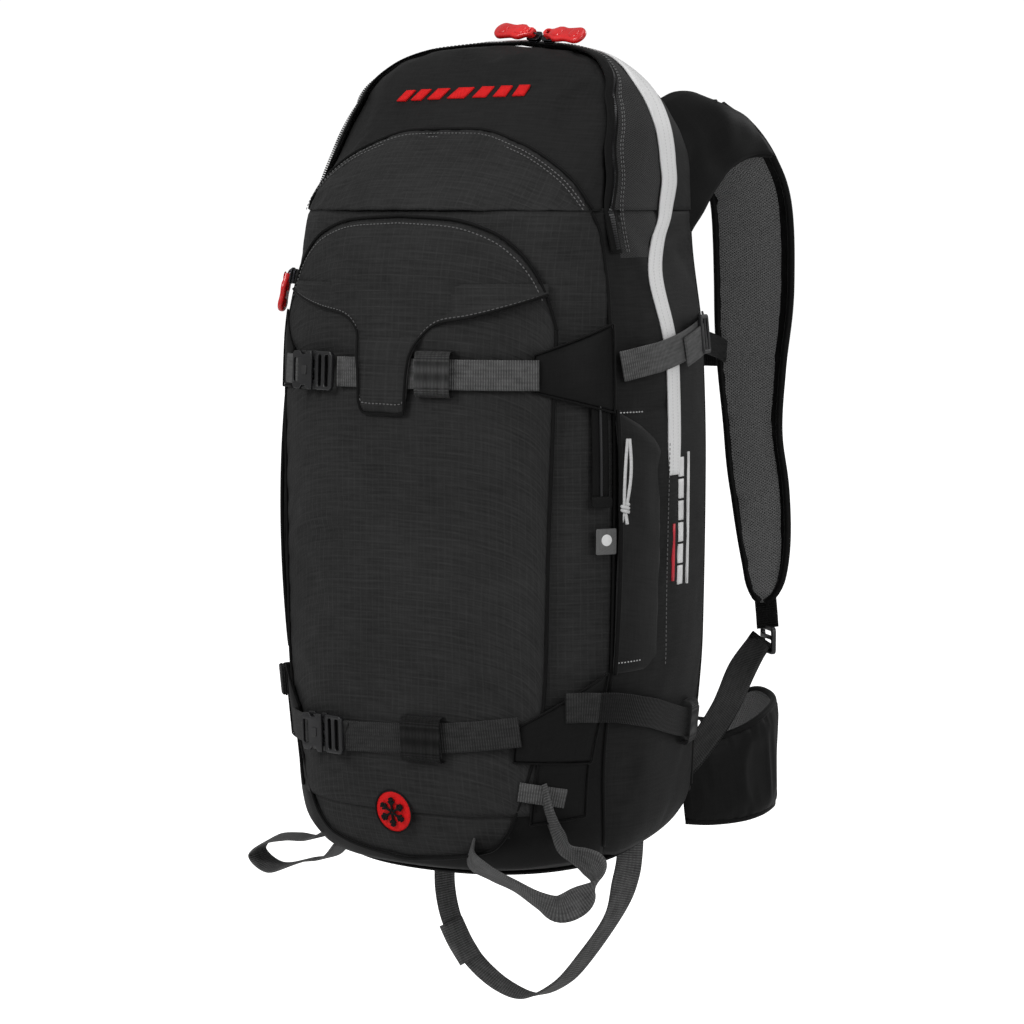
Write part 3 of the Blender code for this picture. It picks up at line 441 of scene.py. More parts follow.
# ------------------------------------------------------------------ the bag's surface
class Curve:
    """Smooth curve through knots that never overshoots them, for arrays."""

    def __init__(self, knots):
        self.x = np.array([k[0] for k in knots], float)
        self.y = np.array([k[1] for k in knots], float)
        h, slopes = np.diff(self.x), np.diff(self.y) / np.diff(self.x)
        self.m = np.zeros(len(self.x))
        self.m[0], self.m[-1] = slopes[0], slopes[-1]
        for i in range(1, len(self.x) - 1):
            if slopes[i - 1] * slopes[i] > 0:
                w1, w2 = 2 * h[i] + h[i - 1], h[i] + 2 * h[i - 1]
                self.m[i] = (w1 + w2) / (w1 / slopes[i - 1] + w2 / slopes[i])

    def __call__(self, x):
        x = np.clip(np.asarray(x, float), self.x[0], self.x[-1])
        i = np.clip(np.searchsorted(self.x, x, side="right") - 1, 0, len(self.x) - 2)
        h = self.x[i + 1] - self.x[i]
        t = (x - self.x[i]) / h
        return ((1 + 2 * t) * (1 - t) ** 2 * self.y[i] + t * (1 - t) ** 2 * h * self.m[i]
                + t * t * (3 - 2 * t) * self.y[i + 1] + t * t * (t - 1) * h * self.m[i + 1])


half_width, front_y, back_y = Curve(HALF_WIDTH), Curve(FRONT_Y), Curve(BACK_Y)
back_taper, zip_fraction, burst_fraction = Curve(BACK_TAPER), Curve(ZIP_FRACTION), Curve(BURST_FRACTION)


def skin(u, z):
    """Points of the bag's outside, in the frame."""
    u, z = np.broadcast_arrays(np.asarray(u, float), np.asarray(z, float))
    front, back = front_y(z), back_y(z)
    middle = 0.5 * (front + back)
    a = np.abs(u)
    turn = np.clip(a / SHOULDER, 0, 1) * math.pi / 2
    k = np.clip((a - SHOULDER) / (1 - SHOULDER), 0, 1)
    near = a < SHOULDER
    w = half_width(z)
    x = np.where(near, w * np.sin(turn) ** (2 / ROUNDNESS), w * (1 - back_taper(z) * k * k))
    y = np.where(near, middle - (middle - front) * np.clip(np.cos(turn), 0, 1) ** (2 / ROUNDNESS),
                 middle + (back - middle) * k)
    low = np.clip(1 - z / 0.25, 0, None)
    rise = BASE_SLOPE * np.clip(y + 0.19, 0, None) * low * low
    return np.stack([np.where(u < 0, -x, x), y, z + rise], -1) - HANG


def outward(u, z):
    du, dz = 0.004, 0.0015
    a = skin(np.minimum(u + du, 1), z) - skin(np.maximum(u - du, -1), z)
    b = skin(u, np.minimum(z + dz, TOP)) - skin(u, np.maximum(z - dz, 0.0))
    n = np.cross(a, b)
    size = np.linalg.norm(n, axis=-1, keepdims=True)
    return np.where(size > 1e-12, n / np.maximum(size, 1e-12), (0, 0, 1.0))


def on_bag(u, z, out=0.0):
    u, z, out = np.broadcast_arrays(np.asarray(u, float), np.asarray(z, float), out)
    return skin(u, z) + outward(u, z) * out[..., None]


def u_at_depth(fraction, z):
    front, back = front_y(z), back_y(z)
    middle = 0.5 * (front + back)
    y = front + fraction * (back - front)
    share = np.clip((middle - y) / (middle - front), 0, 1)
    u_front = SHOULDER * np.arccos(share ** (ROUNDNESS / 2)) / (math.pi / 2)
    u_side = SHOULDER + (1 - SHOULDER) * (y - middle) / np.maximum(back - middle, 1e-9)
    return np.where(y < middle, u_front, u_side)


def zip_u(z):
    return u_at_depth(zip_fraction(z), z)


def burst_u(z):
    return u_at_depth(burst_fraction(z), z)


def per_u(u, z):
    """Metres along the bag for each unit of u."""
    return np.linalg.norm(skin(u + 0.02, z) - skin(u - 0.02, z), axis=-1) / 0.04


def surface_frame(u, z, out):
    """Matrix with X to the wearer's right along the bag, Y up and Z away from the bag."""
    n = Vector(outward(u, z))
    right = Vector(skin(u + 0.01, z) - skin(u - 0.01, z)).normalized()
    up = n.cross(right)
    m = Matrix((right, up, n)).transposed().to_4x4()
    m.translation = Vector(on_bag(u, z, out))
    return m


def design(points):
    """Points of the design, as arrays in the frame."""
    return np.array([tuple(p) for p in points], float) - HANG


def wander(p, size, seed, count=14):
    """Smooth unevenness from -1 to 1 whose bumps are about size across."""
    rng = np.random.default_rng(seed)
    total = np.zeros(p.shape[:-1])
    for _ in range(count):
        way = rng.normal(size=3)
        way /= np.linalg.norm(way)
        pitch = size * rng.uniform(0.7, 1.6)
        total += np.sin(p @ way * 2 * math.pi / pitch + rng.uniform(0, 2 * math.pi))
    return total / math.sqrt(count) / 1.4


# ------------------------------------------------------------------ mesh makers
def piece(name, points, faces, mats, body, uvs=None, index=None, smooth=True):
    """A mesh object that rides on a body; uvs has one pair for each point or each face corner."""
    mesh = bpy.data.meshes.new(name)
    mesh.from_pydata([tuple(p) for p in points], [], faces)
    mesh.update()
    if uvs is not None:
        layer = mesh.uv_layers.new(name="UVMap")
        corner = np.zeros(len(mesh.loops), int)
        mesh.loops.foreach_get("vertex_index", corner)
        flat = np.asarray(uvs, float)
        flat = flat[corner] if len(flat) == len(mesh.vertices) else flat
        layer.data.foreach_set("uv", flat.astype(np.float32).ravel())
    for m in ([mats] if isinstance(mats, str) else mats):
        mesh.materials.append(MATS[m])
    if index is not None:
        mesh.polygons.foreach_set("material_index", np.asarray(index, np.int32))
    if smooth:
        mesh.shade_smooth()
    obj = bpy.data.objects.new(name, mesh)
    bpy.context.scene.collection.objects.link(obj)
    if body:
        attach(obj, body)
    return obj


def stands_for(node):
    """The piece shows a node of the frame, whose own part is hidden."""
    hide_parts(node)


def thicken(obj, thickness, offset=-1):
    """Cloth thickness, laid inwards unless the offset says otherwise."""
    solid = obj.modifiers.new("thickness", "SOLIDIFY")
    solid.thickness = thickness
    solid.offset = offset


def running(p):
    """Length along a path from its start to each of its points."""
    return np.concatenate([[0], np.cumsum(np.linalg.norm(np.diff(p, axis=0), axis=1))])


def at_length(s, run, values):
    """The values of a path's points, three to a point, at the length s along it."""
    return np.array([np.interp(s, run, values[:, k]) for k in range(3)])


def lengths(p, axis):
    """Running length of a grid of points along an axis, 0 at its middle row or column."""
    step = np.linalg.norm(np.diff(p, axis=axis), axis=-1)
    run = np.concatenate([np.zeros_like(np.take(step, [0], axis)), np.cumsum(step, axis)], axis)
    middle = np.take(run, [run.shape[axis] // 2], axis)
    return run - middle


def grid_faces(rows, cols, loop=False):
    faces = []
    for i in range(rows - 1):
        for j in range(cols if loop else cols - 1):
            k = (j + 1) % cols
            faces.append((i * cols + j, i * cols + k, (i + 1) * cols + k, (i + 1) * cols + j))
    return faces


def cloth_grid(name, p, mats, body, thickness=CLOTH_T):
    """A cloth surface over a rows by cols grid of points, with its thickness and true UVs."""
    rows, cols = p.shape[:2]
    uv = np.stack([lengths(p, 1), lengths(p, 0)], -1).reshape(-1, 2)
    obj = piece(name, p.reshape(-1, 3), grid_faces(rows, cols), mats, body, uv)
    thicken(obj, thickness)
    return obj


def spline(points, count):
    """Points on a smooth curve through the given ones, evenly numbered."""
    pts = np.asarray(points, float)
    ext = np.concatenate([[2 * pts[0] - pts[1]], pts, [2 * pts[-1] - pts[-2]]])
    s = np.linspace(0, len(pts) - 1, count)
    i = np.minimum(s.astype(int), len(pts) - 2)
    t = (s - i)[:, None] if pts.ndim > 1 else s - i
    p0, p1, p2, p3 = ext[i], ext[i + 1], ext[i + 2], ext[i + 3]
    return 0.5 * (2 * p1 + (p2 - p0) * t + (2 * p0 - 5 * p1 + 4 * p2 - p3) * t * t
                  + (3 * p1 - p0 - 3 * p2 + p3) * t ** 3)


def even(points, count):
    """The same path with its points evenly spaced."""
    p = np.asarray(points, float)
    run = running(p)
    s = np.linspace(0, run[-1], count)
    return np.stack([np.interp(s, run, p[:, k]) for k in range(p.shape[1])], 1)


def unit(v):
    return v / np.maximum(np.linalg.norm(v, axis=-1, keepdims=True), 1e-12)


def section_sweep(name, p, ways, section, mats, body, index=None):
    """Sweep of a closed section along p; section(k) gives (m, 2) offsets along way and normal."""
    p, ways = np.asarray(p, float), np.asarray(ways, float)
    n = len(p)
    ahead = unit(np.gradient(p, axis=0))
    side = unit(ways - ahead * np.sum(ways * ahead, 1)[:, None])
    normal = np.cross(side, ahead)
    rings, outline_run = [], []
    for k in range(n):
        s = np.asarray(section(k), float)
        rings.append(p[k] + s[:, :1] * side[k] + s[:, 1:] * normal[k])
        outline_run.append(s)
    rings = np.array(rings)
    m = rings.shape[1]
    faces = grid_faces(n, m, loop=True)
    faces += [tuple(range(m))[::-1], tuple((n - 1) * m + j for j in range(m))]
    run = running(p)
    uv = np.stack([np.array(outline_run)[:, :, 0], np.repeat(run[:, None], m, 1)], -1)
    if index is not None:
        index = [index(j) for _ in range(n - 1) for j in range(m)] + [0, 0]
    return piece(name, rings.reshape(-1, 3), faces, mats, body, uv.reshape(-1, 2), index)


def strap(name, p, ways, mat, body, width=WEBBING, thickness=WEBBING_T, count=40, crown=0.0):
    """Webbing: a flat strip with rounded edges, crowned if asked."""
    p, ways = spline(p, count), spline(ways, count)
    h, t = width / 2, thickness / 2
    xs = np.array([-1, -0.96, -0.7, -0.35, 0, 0.35, 0.7, 0.96, 1]) * h
    rise = crown * (1 - (xs / h) ** 2)
    edge = np.array([0.35, 0.9, 1, 1, 1, 1, 1, 0.9, 0.35]) * t
    top = np.stack([xs, rise + edge], 1)
    low = np.stack([xs, rise - edge], 1)[::-1]
    section = np.concatenate([low, top])
    return section_sweep(name, p, ways, lambda k: section, mat, body)


def bag_strap(name, knots, mat, body="pack", width=WEBBING, thickness=WEBBING_T, count=40):
    """Webbing that lies on the bag; knots are (u, z, out)."""
    k = spline(knots, count)
    p = on_bag(k[:, 0], k[:, 1], k[:, 2])
    n = outward(k[:, 0], k[:, 1])
    ahead = unit(np.gradient(p, axis=0))
    return strap(name, p, np.cross(ahead, n), mat, body, width, thickness, count)


def tube(name, p, radius, mat, body, sides=10):
    """Round tube along points; the radius is a number or one for each point."""
    p = np.asarray(p, float)
    ahead = unit(np.gradient(p, axis=0))
    way = np.cross(ahead[0], (0.3, 0.5, 0.8))
    ways = []
    for a in ahead:
        way = unit(way - a * (way @ a))
        ways.append(way)
    r = np.broadcast_to(radius, (len(p),))
    turn = np.linspace(0, 2 * math.pi, sides, endpoint=False)
    ring = np.stack([np.cos(turn), np.sin(turn)], 1)
    return section_sweep(name, p, np.array(ways), lambda k: ring * r[k], mat, body)


def bag_tube(name, knots, radius, mat, body="pack", count=80, sides=8):
    k = spline(knots, count)
    return tube(name, on_bag(k[:, 0], k[:, 1], k[:, 2]), radius, mat, body, sides)


def stitches(name, path, normal, mat, body, pitch=0.0030, length=0.0020, radius=0.00030):
    """A run of thread: one small capsule for each stitch, lying along the path."""
    path, normal = np.asarray(path, float), np.asarray(normal, float)
    run = running(path)
    count = max(1, int(run[-1] / pitch))
    points, faces, uvs = [], [], []
    sides, shape = 6, ((-0.5, 0.25), (-0.3, 1.0), (0.3, 1.0), (0.5, 0.25))
    for q in range(count):
        s = (q + 0.5) * run[-1] / count
        at = at_length(s, run, path)
        ahead = unit(at_length(s + STEP, run, path) - at_length(s - STEP, run, path))
        n = unit(at_length(s, run, normal))
        side = np.cross(n, ahead)
        base = len(points)
        for x, r in shape:
            for j in range(sides):
                turn = 2 * math.pi * j / sides
                points.append(at + ahead * x * length
                              + (side * math.cos(turn) * 1.3 + n * math.sin(turn)) * r * radius)
                uvs.append((x * length, j * radius))
        faces += [tuple(base + v for v in f) for f in grid_faces(len(shape), sides, loop=True)]
        faces += [tuple(base + j for j in range(sides))[::-1],
                  tuple(base + (len(shape) - 1) * sides + j for j in range(sides))]
    return piece(name, points, faces, mat, body, uvs)


def bag_stitches(name, knots, mat, body="pack", count=60, **sizes):
    k = spline(knots, count)
    return stitches(name, on_bag(k[:, 0], k[:, 1], k[:, 2]), outward(k[:, 0], k[:, 1]), mat, body,
                    **sizes)


def plate(name, outlines, thickness, bevel, matrix, mat, body):
    """Flat moulded plate from its outline and its holes, with rounded edges."""
    curve = bpy.data.curves.new(name, "CURVE")
    curve.dimensions = "2D"
    curve.fill_mode = "BOTH"
    curve.extrude = thickness / 2 - bevel
    curve.bevel_depth = bevel
    curve.bevel_resolution = 2
    curve.offset = -bevel
    for points in outlines:
        line = curve.splines.new("POLY")
        line.points.add(len(points) - 1)
        for point, (x, y) in zip(line.points, points):
            point.co = (x, y, 0, 1)
        line.use_cyclic_u = True
    temp = bpy.data.objects.new(name + "_curve", curve)
    bpy.context.scene.collection.objects.link(temp)
    bpy.context.view_layer.update()
    mesh = bpy.data.meshes.new_from_object(temp.evaluated_get(bpy.context.evaluated_depsgraph_get()))
    bpy.data.objects.remove(temp)
    bm = bmesh.new()
    bm.from_mesh(mesh)
    bmesh.ops.remove_doubles(bm, verts=bm.verts, dist=1e-6)
    bm.to_mesh(mesh)
    bm.free()
    mesh.name = name
    mesh.materials.clear()
    mesh.materials.append(MATS[mat])
    mesh.transform(matrix)
    mesh.shade_smooth()
    mesh.set_sharp_from_angle(angle=math.radians(50))
    obj = bpy.data.objects.new(name, mesh)
    bpy.context.scene.collection.objects.link(obj)
    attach(obj, body)
    return obj


def rounded(w, h, r, x=0.0, y=0.0, steps=5):
    """Outline of a rectangle with round corners."""
    out = []
    for cx, cy, start in ((w / 2 - r, h / 2 - r, 0), (-w / 2 + r, h / 2 - r, 90),
                          (-w / 2 + r, -h / 2 + r, 180), (w / 2 - r, -h / 2 + r, 270)):
        for k in range(steps + 1):
            turn = math.radians(start + 90 * k / steps)
            out.append((x + cx + r * math.cos(turn), y + cy + r * math.sin(turn)))
    return out


def bar(name, a, b, radius, mat, body):
    """Short rod with round ends between two points."""
    a, b = np.asarray(a, float), np.asarray(b, float)
    s = np.array([0, 0.02, 0.06, 0.5, 0.94, 0.98, 1])
    size = np.array([0.3, 0.75, 1, 1, 1, 0.75, 0.3]) * radius
    return tube(name, a + (b - a) * s[:, None], size, mat, body, 12)


def settle(obj, pins, pressure, slack, cap, frames=16, bend=0.6):
    """Lets the cloth find its own shape under a little pressure, its pinned points held still."""
    mesh = obj.data
    start = np.zeros(len(mesh.vertices) * 3)
    mesh.vertices.foreach_get("co", start)
    group = obj.vertex_groups.new(name="pins")
    group.add([int(k) for k in pins], 1.0, "REPLACE")
    cloth = obj.modifiers.new("cloth", "CLOTH")
    cloth.settings.quality = 4
    cloth.settings.mass = 0.3
    cloth.settings.tension_stiffness = cloth.settings.compression_stiffness = 12
    cloth.settings.shear_stiffness = 4
    cloth.settings.bending_stiffness = bend
    cloth.settings.use_pressure = True
    cloth.settings.uniform_pressure_force = pressure
    cloth.settings.shrink_min = -slack
    cloth.settings.vertex_group_mass = "pins"
    cloth.settings.effector_weights.gravity = 0
    cloth.collision_settings.use_collision = False
    scene = bpy.context.scene
    cloth.point_cache.frame_start, cloth.point_cache.frame_end = 1, frames
    for k in range(1, frames + 1):
        scene.frame_set(k)
    settled = obj.evaluated_get(bpy.context.evaluated_depsgraph_get()).to_mesh()
    end = np.zeros(len(start))
    settled.vertices.foreach_get("co", end)
    obj.modifiers.remove(cloth)
    obj.vertex_groups.remove(group)
    move = (end - start).reshape(-1, 3)
    size = np.linalg.norm(move, axis=1, keepdims=True)
    move *= cap * np.tanh(size / cap) / np.maximum(size, 1e-9)
    mesh.vertices.foreach_set("co", (start.reshape(-1, 3) + move).ravel())
    mesh.update()
    scene.frame_set(1)


def border(rows, cols, sides="lrtb"):
    """Point numbers on the border of a grid."""
    k = np.arange(rows * cols).reshape(rows, cols)
    parts = {"l": k[:, :1], "r": k[:, -1:], "b": k[:1], "t": k[-1:]}
    return np.unique(np.concatenate([parts[s].ravel() for s in sides]))


def bag_cloth(name, u, z, out, mats, body="pack", puff=0.0015, seed=1, soft=0.0009, fine=0.0003,
              pinned="lrtb", index=None, thickness=CLOTH_T, slack=0.0, cap=0.003, reach=0.014):
    """A panel of the bag over grids of u and z: pulled in at its sewn edges, uneven between."""
    u, z, out = np.broadcast_arrays(u, z, out)
    p = skin(u, z)
    run_x, run_z = lengths(p, 1), lengths(p, 0)
    far = {"l": run_x - run_x[:, :1], "r": run_x[:, -1:] - run_x,
           "b": run_z - run_z[:1], "t": run_z[-1:] - run_z}
    near = np.min([far[s] for s in pinned], axis=0)
    lift = 1 - np.exp(-near / reach)
    height = out + lift * (puff + soft * wander(p, 0.075, seed) + fine * wander(p, 0.020, seed + 1))
    p = on_bag(u, z, height)
    rows, cols = u.shape
    uv = np.stack([lengths(p, 1), lengths(p, 0)], -1).reshape(-1, 2)
    obj = piece(name, p.reshape(-1, 3), grid_faces(rows, cols), mats, None, uv, index)
    if slack:
        settle(obj, border(rows, cols), 1.5, slack, cap)
    thicken(obj, thickness)
    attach(obj, body)
    return obj


def span(a, b, n):
    return np.linspace(a, b, n)


def mesh_grid(rows, cols):
    """Shares from 0 to 1 down the rows and across the columns."""
    return np.meshgrid(span(0, 1, rows), span(0, 1, cols), indexing="ij")


def smooth(x):
    x = np.clip(x, 0, 1)
    return x * x * (3 - 2 * x)


# ------------------------------------------------------------------ the cord comes first
def pocket_cord():
    """Two strands of thin cord from the side pocket's zip down to their knot."""
    top = on_bag(0.503, 0.303, 0.0072)
    low = on_bag(0.492, 0.258, 0.0076)
    for name, side in (("cord_strand_front", -1), ("cord_strand_back", 1)):
        k = span(0, 1, 18)
        p = top + (low - top) * k[:, None]
        p += np.array((0.0016, -0.0010, 0)) * np.sin(math.pi * k)[:, None]
        p += np.array((0.0011, 0.0009, 0)) * side * (0.45 + 0.9 * np.sin(math.pi * k))[:, None]
        tube(name, p, 0.00105, "cord", "pack", 10)
    turn = span(0, 2 * math.pi * 2.4, 60)
    knot_path = low + np.stack([0.0021 * np.cos(turn), 0.0021 * np.sin(turn),
                                0.0026 - 0.0058 * turn / turn[-1]], -1)
    knot = tube("cord_knot", knot_path, 0.0012, "cord", "pack", 8)
    for k, way in enumerate((-1, 1)):
        tail = low + np.array([(0, 0, -0.002), (0.0012 * way, -0.0004, -0.006),
                               (0.0022 * way, -0.0008, -0.0105)])
        tube("cord_end_%d" % (k + 1), spline(tail, 8), 0.0011, "cord", "pack", 8)
    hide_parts("pocket_cord")


# ------------------------------------------------------------------ cloth of the bag
EDGE = Curve([(0.0, 0.485), (0.374, 0.485), (0.406, 0.492), (0.434, 0.480), (FOLD_Z, 0.440)])
ARCH_C = Curve([(0, 0.448), (0.10, 0.446), (0.195, 0.438), (0.265, 0.424), (0.315, 0.402),
                (0.338, 0.376)])
ARCH_B = Curve([(0, 0.506), (0.065, 0.5055), (0.18, 0.496), (0.30, 0.480), (0.40, 0.462),
                (0.440, FOLD_Z + 0.0006)])
POCKET_HALF = Curve([(0.05, 0.300), (0.138, 0.312), (0.224, 0.314), (0.296, 0.322), (0.376, 0.338)])
T_EDGE = [(-0.296, 0.398), (-0.250, 0.394), (-0.155, 0.387), (-0.092, 0.383), (-0.062, 0.376),
          (-0.047, 0.364), (-0.040, 0.346), (-0.037, 0.322), (-0.030, 0.3185), (0.0, 0.3180),
          (0.026, 0.3180), (0.034, 0.322), (0.038, 0.342), (0.044, 0.357), (0.058, 0.369),
          (0.090, 0.378), (0.150, 0.382), (0.235, 0.389), (0.325, 0.397)]


def front_cloth():
    i, j = mesh_grid(96, 100)
    z = 0.013 + (FOLD_Z + HEM - 0.013) * i
    u = EDGE(z) * (2 * j - 1)
    above = smooth((z - ARCH_C(np.abs(u))) / 0.02)
    tuck = 0.0003 * smooth((z - FOLD_Z + 0.002) / 0.002)
    obj = bag_cloth("front_cloth", u, z, -0.0030 + 0.0020 * above - tuck, "ripstop", seed=3, puff=0.0006,
                    soft=0.0006, slack=0.006, cap=0.0012, pinned="lrb")
    stands_for("front_pocket")
    i, j = mesh_grid(50, 50)
    z = 0.016 + (FOLD_Z - 0.001 - 0.016) * i
    lining = bag_cloth("front_lining", 0.475 * (2 * j - 1), z, -0.0078, "nylon", seed=5, puff=0,
                       soft=0.0004, fine=0.0002)
    stands_for("front_panel")


def side_cloth(side, sign):
    rows, cols = 96, 52
    i, j = mesh_grid(rows, cols)
    z = 0.009 + (FOLD_Z + HEM - 0.009) * i
    near = EDGE(z)
    a = near + (1 - near) * j
    out = (-0.0030 + 0.0032 * smooth((a - near) / 0.05)
           - 0.0003 * smooth((z - FOLD_Z + 0.002) / 0.002))
    knit_low = 0.418
    knit = (z > knit_low) & (a > 0.53) & (a < 0.68)
    index = (knit[:-1, :-1] & knit[1:, 1:]).astype(int).ravel()
    order = slice(None) if sign > 0 else slice(None, None, -1)
    a, z, out = a[:, order], z[:, order], out[:, order]
    if sign < 0:
        index = index.reshape(rows - 1, cols - 1)[:, ::-1].ravel()
    obj = bag_cloth("side_cloth_" + side, sign * a, z, out, ["nylon", "knit"], seed=3,
                    puff=0.0006, soft=0.0006, pinned="lrb", index=index, slack=0.006, cap=0.0016)
    stands_for("side_panel_" + side)


def base_cloth():
    """Dished floor of the bag, gathered to its middle."""
    rings, n = 16, 96
    u = span(-1, 1, n)
    rim = skin(u, np.zeros(n)) + (0, -0.0008, 0.0010)
    middle = np.array((0, -0.075, 0.0155)) - HANG
    k = span(0, 1, rings)[:, None, None]
    p = rim[None] * (1 - k) + middle * k
    p[..., 2] += 0.0010 * wander(p, 0.06, 31) * np.sin(math.pi * np.clip(k[..., 0], 0, 1))
    p = p[:, ::-1]
    uv = np.stack([p[..., 0], p[..., 1]], -1).reshape(-1, 2)
    obj = piece("base_cloth", p.reshape(-1, 3), grid_faces(rings, n), "nylon", None, uv)
    thicken(obj, 0.0016)
    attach(obj, "pack")
    stands_for("base_panel")
    # front of the bottom cap, over the ripstop, and its piping
    i, j = mesh_grid(24, 80)
    s = 2 * j - 1
    top = Curve([(0, 0.016), (0.19, 0.028), (0.25, 0.050), (0.29, 0.084), (0.33, 0.116),
                 (0.40, 0.124), (0.48, 0.126)])
    uu = 0.484 * s
    z = 0.008 + (top(np.abs(uu)) - 0.008) * i
    cap = bag_cloth("base_cap", uu, z, -0.0012, "satin", seed=37, puff=0.0008, thickness=0.002)
    knots = [(x, float(top(abs(x))), 0.0004) for x in span(-0.48, 0.48, 25)]
    bag_tube("base_piping", knots, 0.0011, "binding", count=140)


def tool_pocket():
    i, j = mesh_grid(100, 84)
    s = 2 * j - 1
    top = ARCH_C(np.abs(s) * INNER_ARCH)
    z = 0.052 + (top - 0.052) * i
    u = s * POCKET_HALF(z)
    strap_dip = np.exp(-((z - UPPER_STRAP_Z) / 0.012) ** 2) * smooth((np.abs(u) - 0.03) / 0.03)
    low_dip = np.exp(-((z - LOWER_STRAP_Z) / 0.012) ** 2)
    out = 0.0003 - 0.0012 * strap_dip - 0.0010 * low_dip
    obj = bag_cloth("tool_pocket_cloth", u, z, out, "ripstop", seed=21, puff=0.0016, soft=0.0008,
                    slack=0.010, cap=0.0020)
    stands_for("tool_pocket")
    arch = [(x, float(ARCH_C(abs(x))), 0.0014) for x in span(-INNER_ARCH, INNER_ARCH, 41)]
    right = [(float(POCKET_HALF(z)), float(z), 0.0010) for z in span(0.372, 0.055, 16)]
    edge = [(-a, b, c) for a, b, c in right[::-1]] + arch + right
    bag_tube("tool_pocket_rim", edge, 0.0012, "binding", count=260)
    inner = [(x * 0.975, float(ARCH_C(abs(x))) - 0.005, 0.0022) for x in span(-0.32, 0.32, 41)]
    bag_stitches("tool_pocket_stitches", inner, "thread", count=160)


def arch_path(count, low):
    """Signs and heights from the left end over the crown to the right end."""
    t = span(-1, 1, count)
    return np.where(t < 0, -1.0, 1.0), low + (TOP - CROWN_GAP - low) * np.cos(np.abs(t) * math.pi / 2)


def arch_strip(name, near, far, out, mats, body, low, count=120, cols=9, **cloth):
    """Cloth strip over the crown, between two lines given as functions of height."""
    sign, z = arch_path(count, low)
    j = span(0, 1, cols)[None]
    a = near(z)[:, None] * (1 - j) + far(z)[:, None] * j
    u = sign[:, None] * np.minimum(a, 1.0)
    zz = np.broadcast_to(z[:, None], u.shape)
    return bag_cloth(name, u, zz, out, mats, body, pinned="lr", **cloth)


def channel():
    low = FOLD_Z + LAP
    front = arch_strip("channel_mesh", lambda z: zip_u(z) + 0.012, lambda z: burst_u(z) - BURST_MARGIN,
                       -0.0004, "knit", "pack", low, cols=24, seed=3, soft=0.0006, puff=0.0012, reach=0.008)
    back = arch_strip("channel_back", lambda z: burst_u(z) + BURST_MARGIN, lambda z: np.ones_like(z),
                      -0.0004, "nylon", "pack", low, cols=20, seed=3, soft=0.0006, puff=0.0010, reach=0.008)
    stands_for("airbag_channel")
    width = Curve([(BURST_LOW, 0.0070), (0.30, 0.0088), (0.44, 0.0088), (0.47, 0.0115),
                   (0.53, 0.0105), (0.55, 0.0085), (TOP, 0.0060)])

    def half(z):
        return np.minimum(width(z) / per_u(burst_u(z), z), 0.25)

    band = arch_strip("burst_band", lambda z: burst_u(z) - half(z), lambda z: burst_u(z) + half(z),
                      0.0020, "white_tape", "pack", BURST_LOW, count=200, cols=9, seed=47,
                      puff=0.0006, soft=0.0003, fine=0.0001, thickness=0.0012, reach=0.003)
    stands_for("burst_zip")
    for k, side in ((-1, "front"), (1, "back")):
        sign, z = arch_path(200, BURST_LOW)
        a = np.minimum(burst_u(z) + k * (half(z) + 0.003), 1)
        tube("burst_edge_" + side, on_bag(sign * a, z, 0.0010), 0.0010, "binding", "pack", 8)


def lid():
    rows, cols = 60, 72
    t = span(0, 1, rows)[:, None]
    low = FOLD_Z + LAP
    z = low + (TOP - 0.0002 - low) * np.sin(t * math.pi / 2)
    s = span(-1, 1, cols)[None]
    u = (zip_u(z) + 0.004) * s
    near_fold = (1 - smooth((z - low) / 0.02)) * smooth((np.abs(u) - 0.43) / 0.03)
    obj = bag_cloth("lid_cloth", u, z, -0.0026 + 0.0016 * near_fold, "nylon", "top_flap", seed=3,
                    puff=0.0014, soft=0.0006, pinned="lrb", slack=0.008, cap=0.0018)
    stands_for("lid_panel")
    i, j = mesh_grid(34, 90)
    s = (2 * j - 1) * OUTER_ARCH
    top = ARCH_B(np.abs(s))
    z = low + (top - low) * i
    out = -0.0010 + 0.0016 * smooth((z - low) / 0.02)
    pocket = bag_cloth("front_pocket_cloth", s, z, out, "ripstop", "top_flap", seed=3,
                       puff=0.0016, soft=0.0006, slack=0.010, cap=0.0020, pinned="lrt")
    stands_for("front_pocket_top")
    arch = [(x, float(ARCH_B(abs(x))), 0.0010) for x in span(-OUTER_ARCH, OUTER_ARCH, 45)]
    bag_tube("front_pocket_rim", arch, 0.0013, "binding", "top_flap", count=240)
    for k, drop in enumerate((0.0038, 0.0062)):
        row = [(x * 0.985, float(ARCH_B(abs(x))) - drop, 0.0022) for x in span(-0.42, 0.42, 45)]
        bag_stitches("front_pocket_stitches_%d" % (k + 1), row, "thread", "top_flap", count=200)
    for side, sign in SIDES:
        low_edge = [(sign * float(EDGE(z)), float(z), -0.0012)
                    for z in span(FOLD_Z - 0.001, 0.02, 40)]
        bag_tube("side_seam_" + side, low_edge, 0.0013, "binding", "pack", count=160)


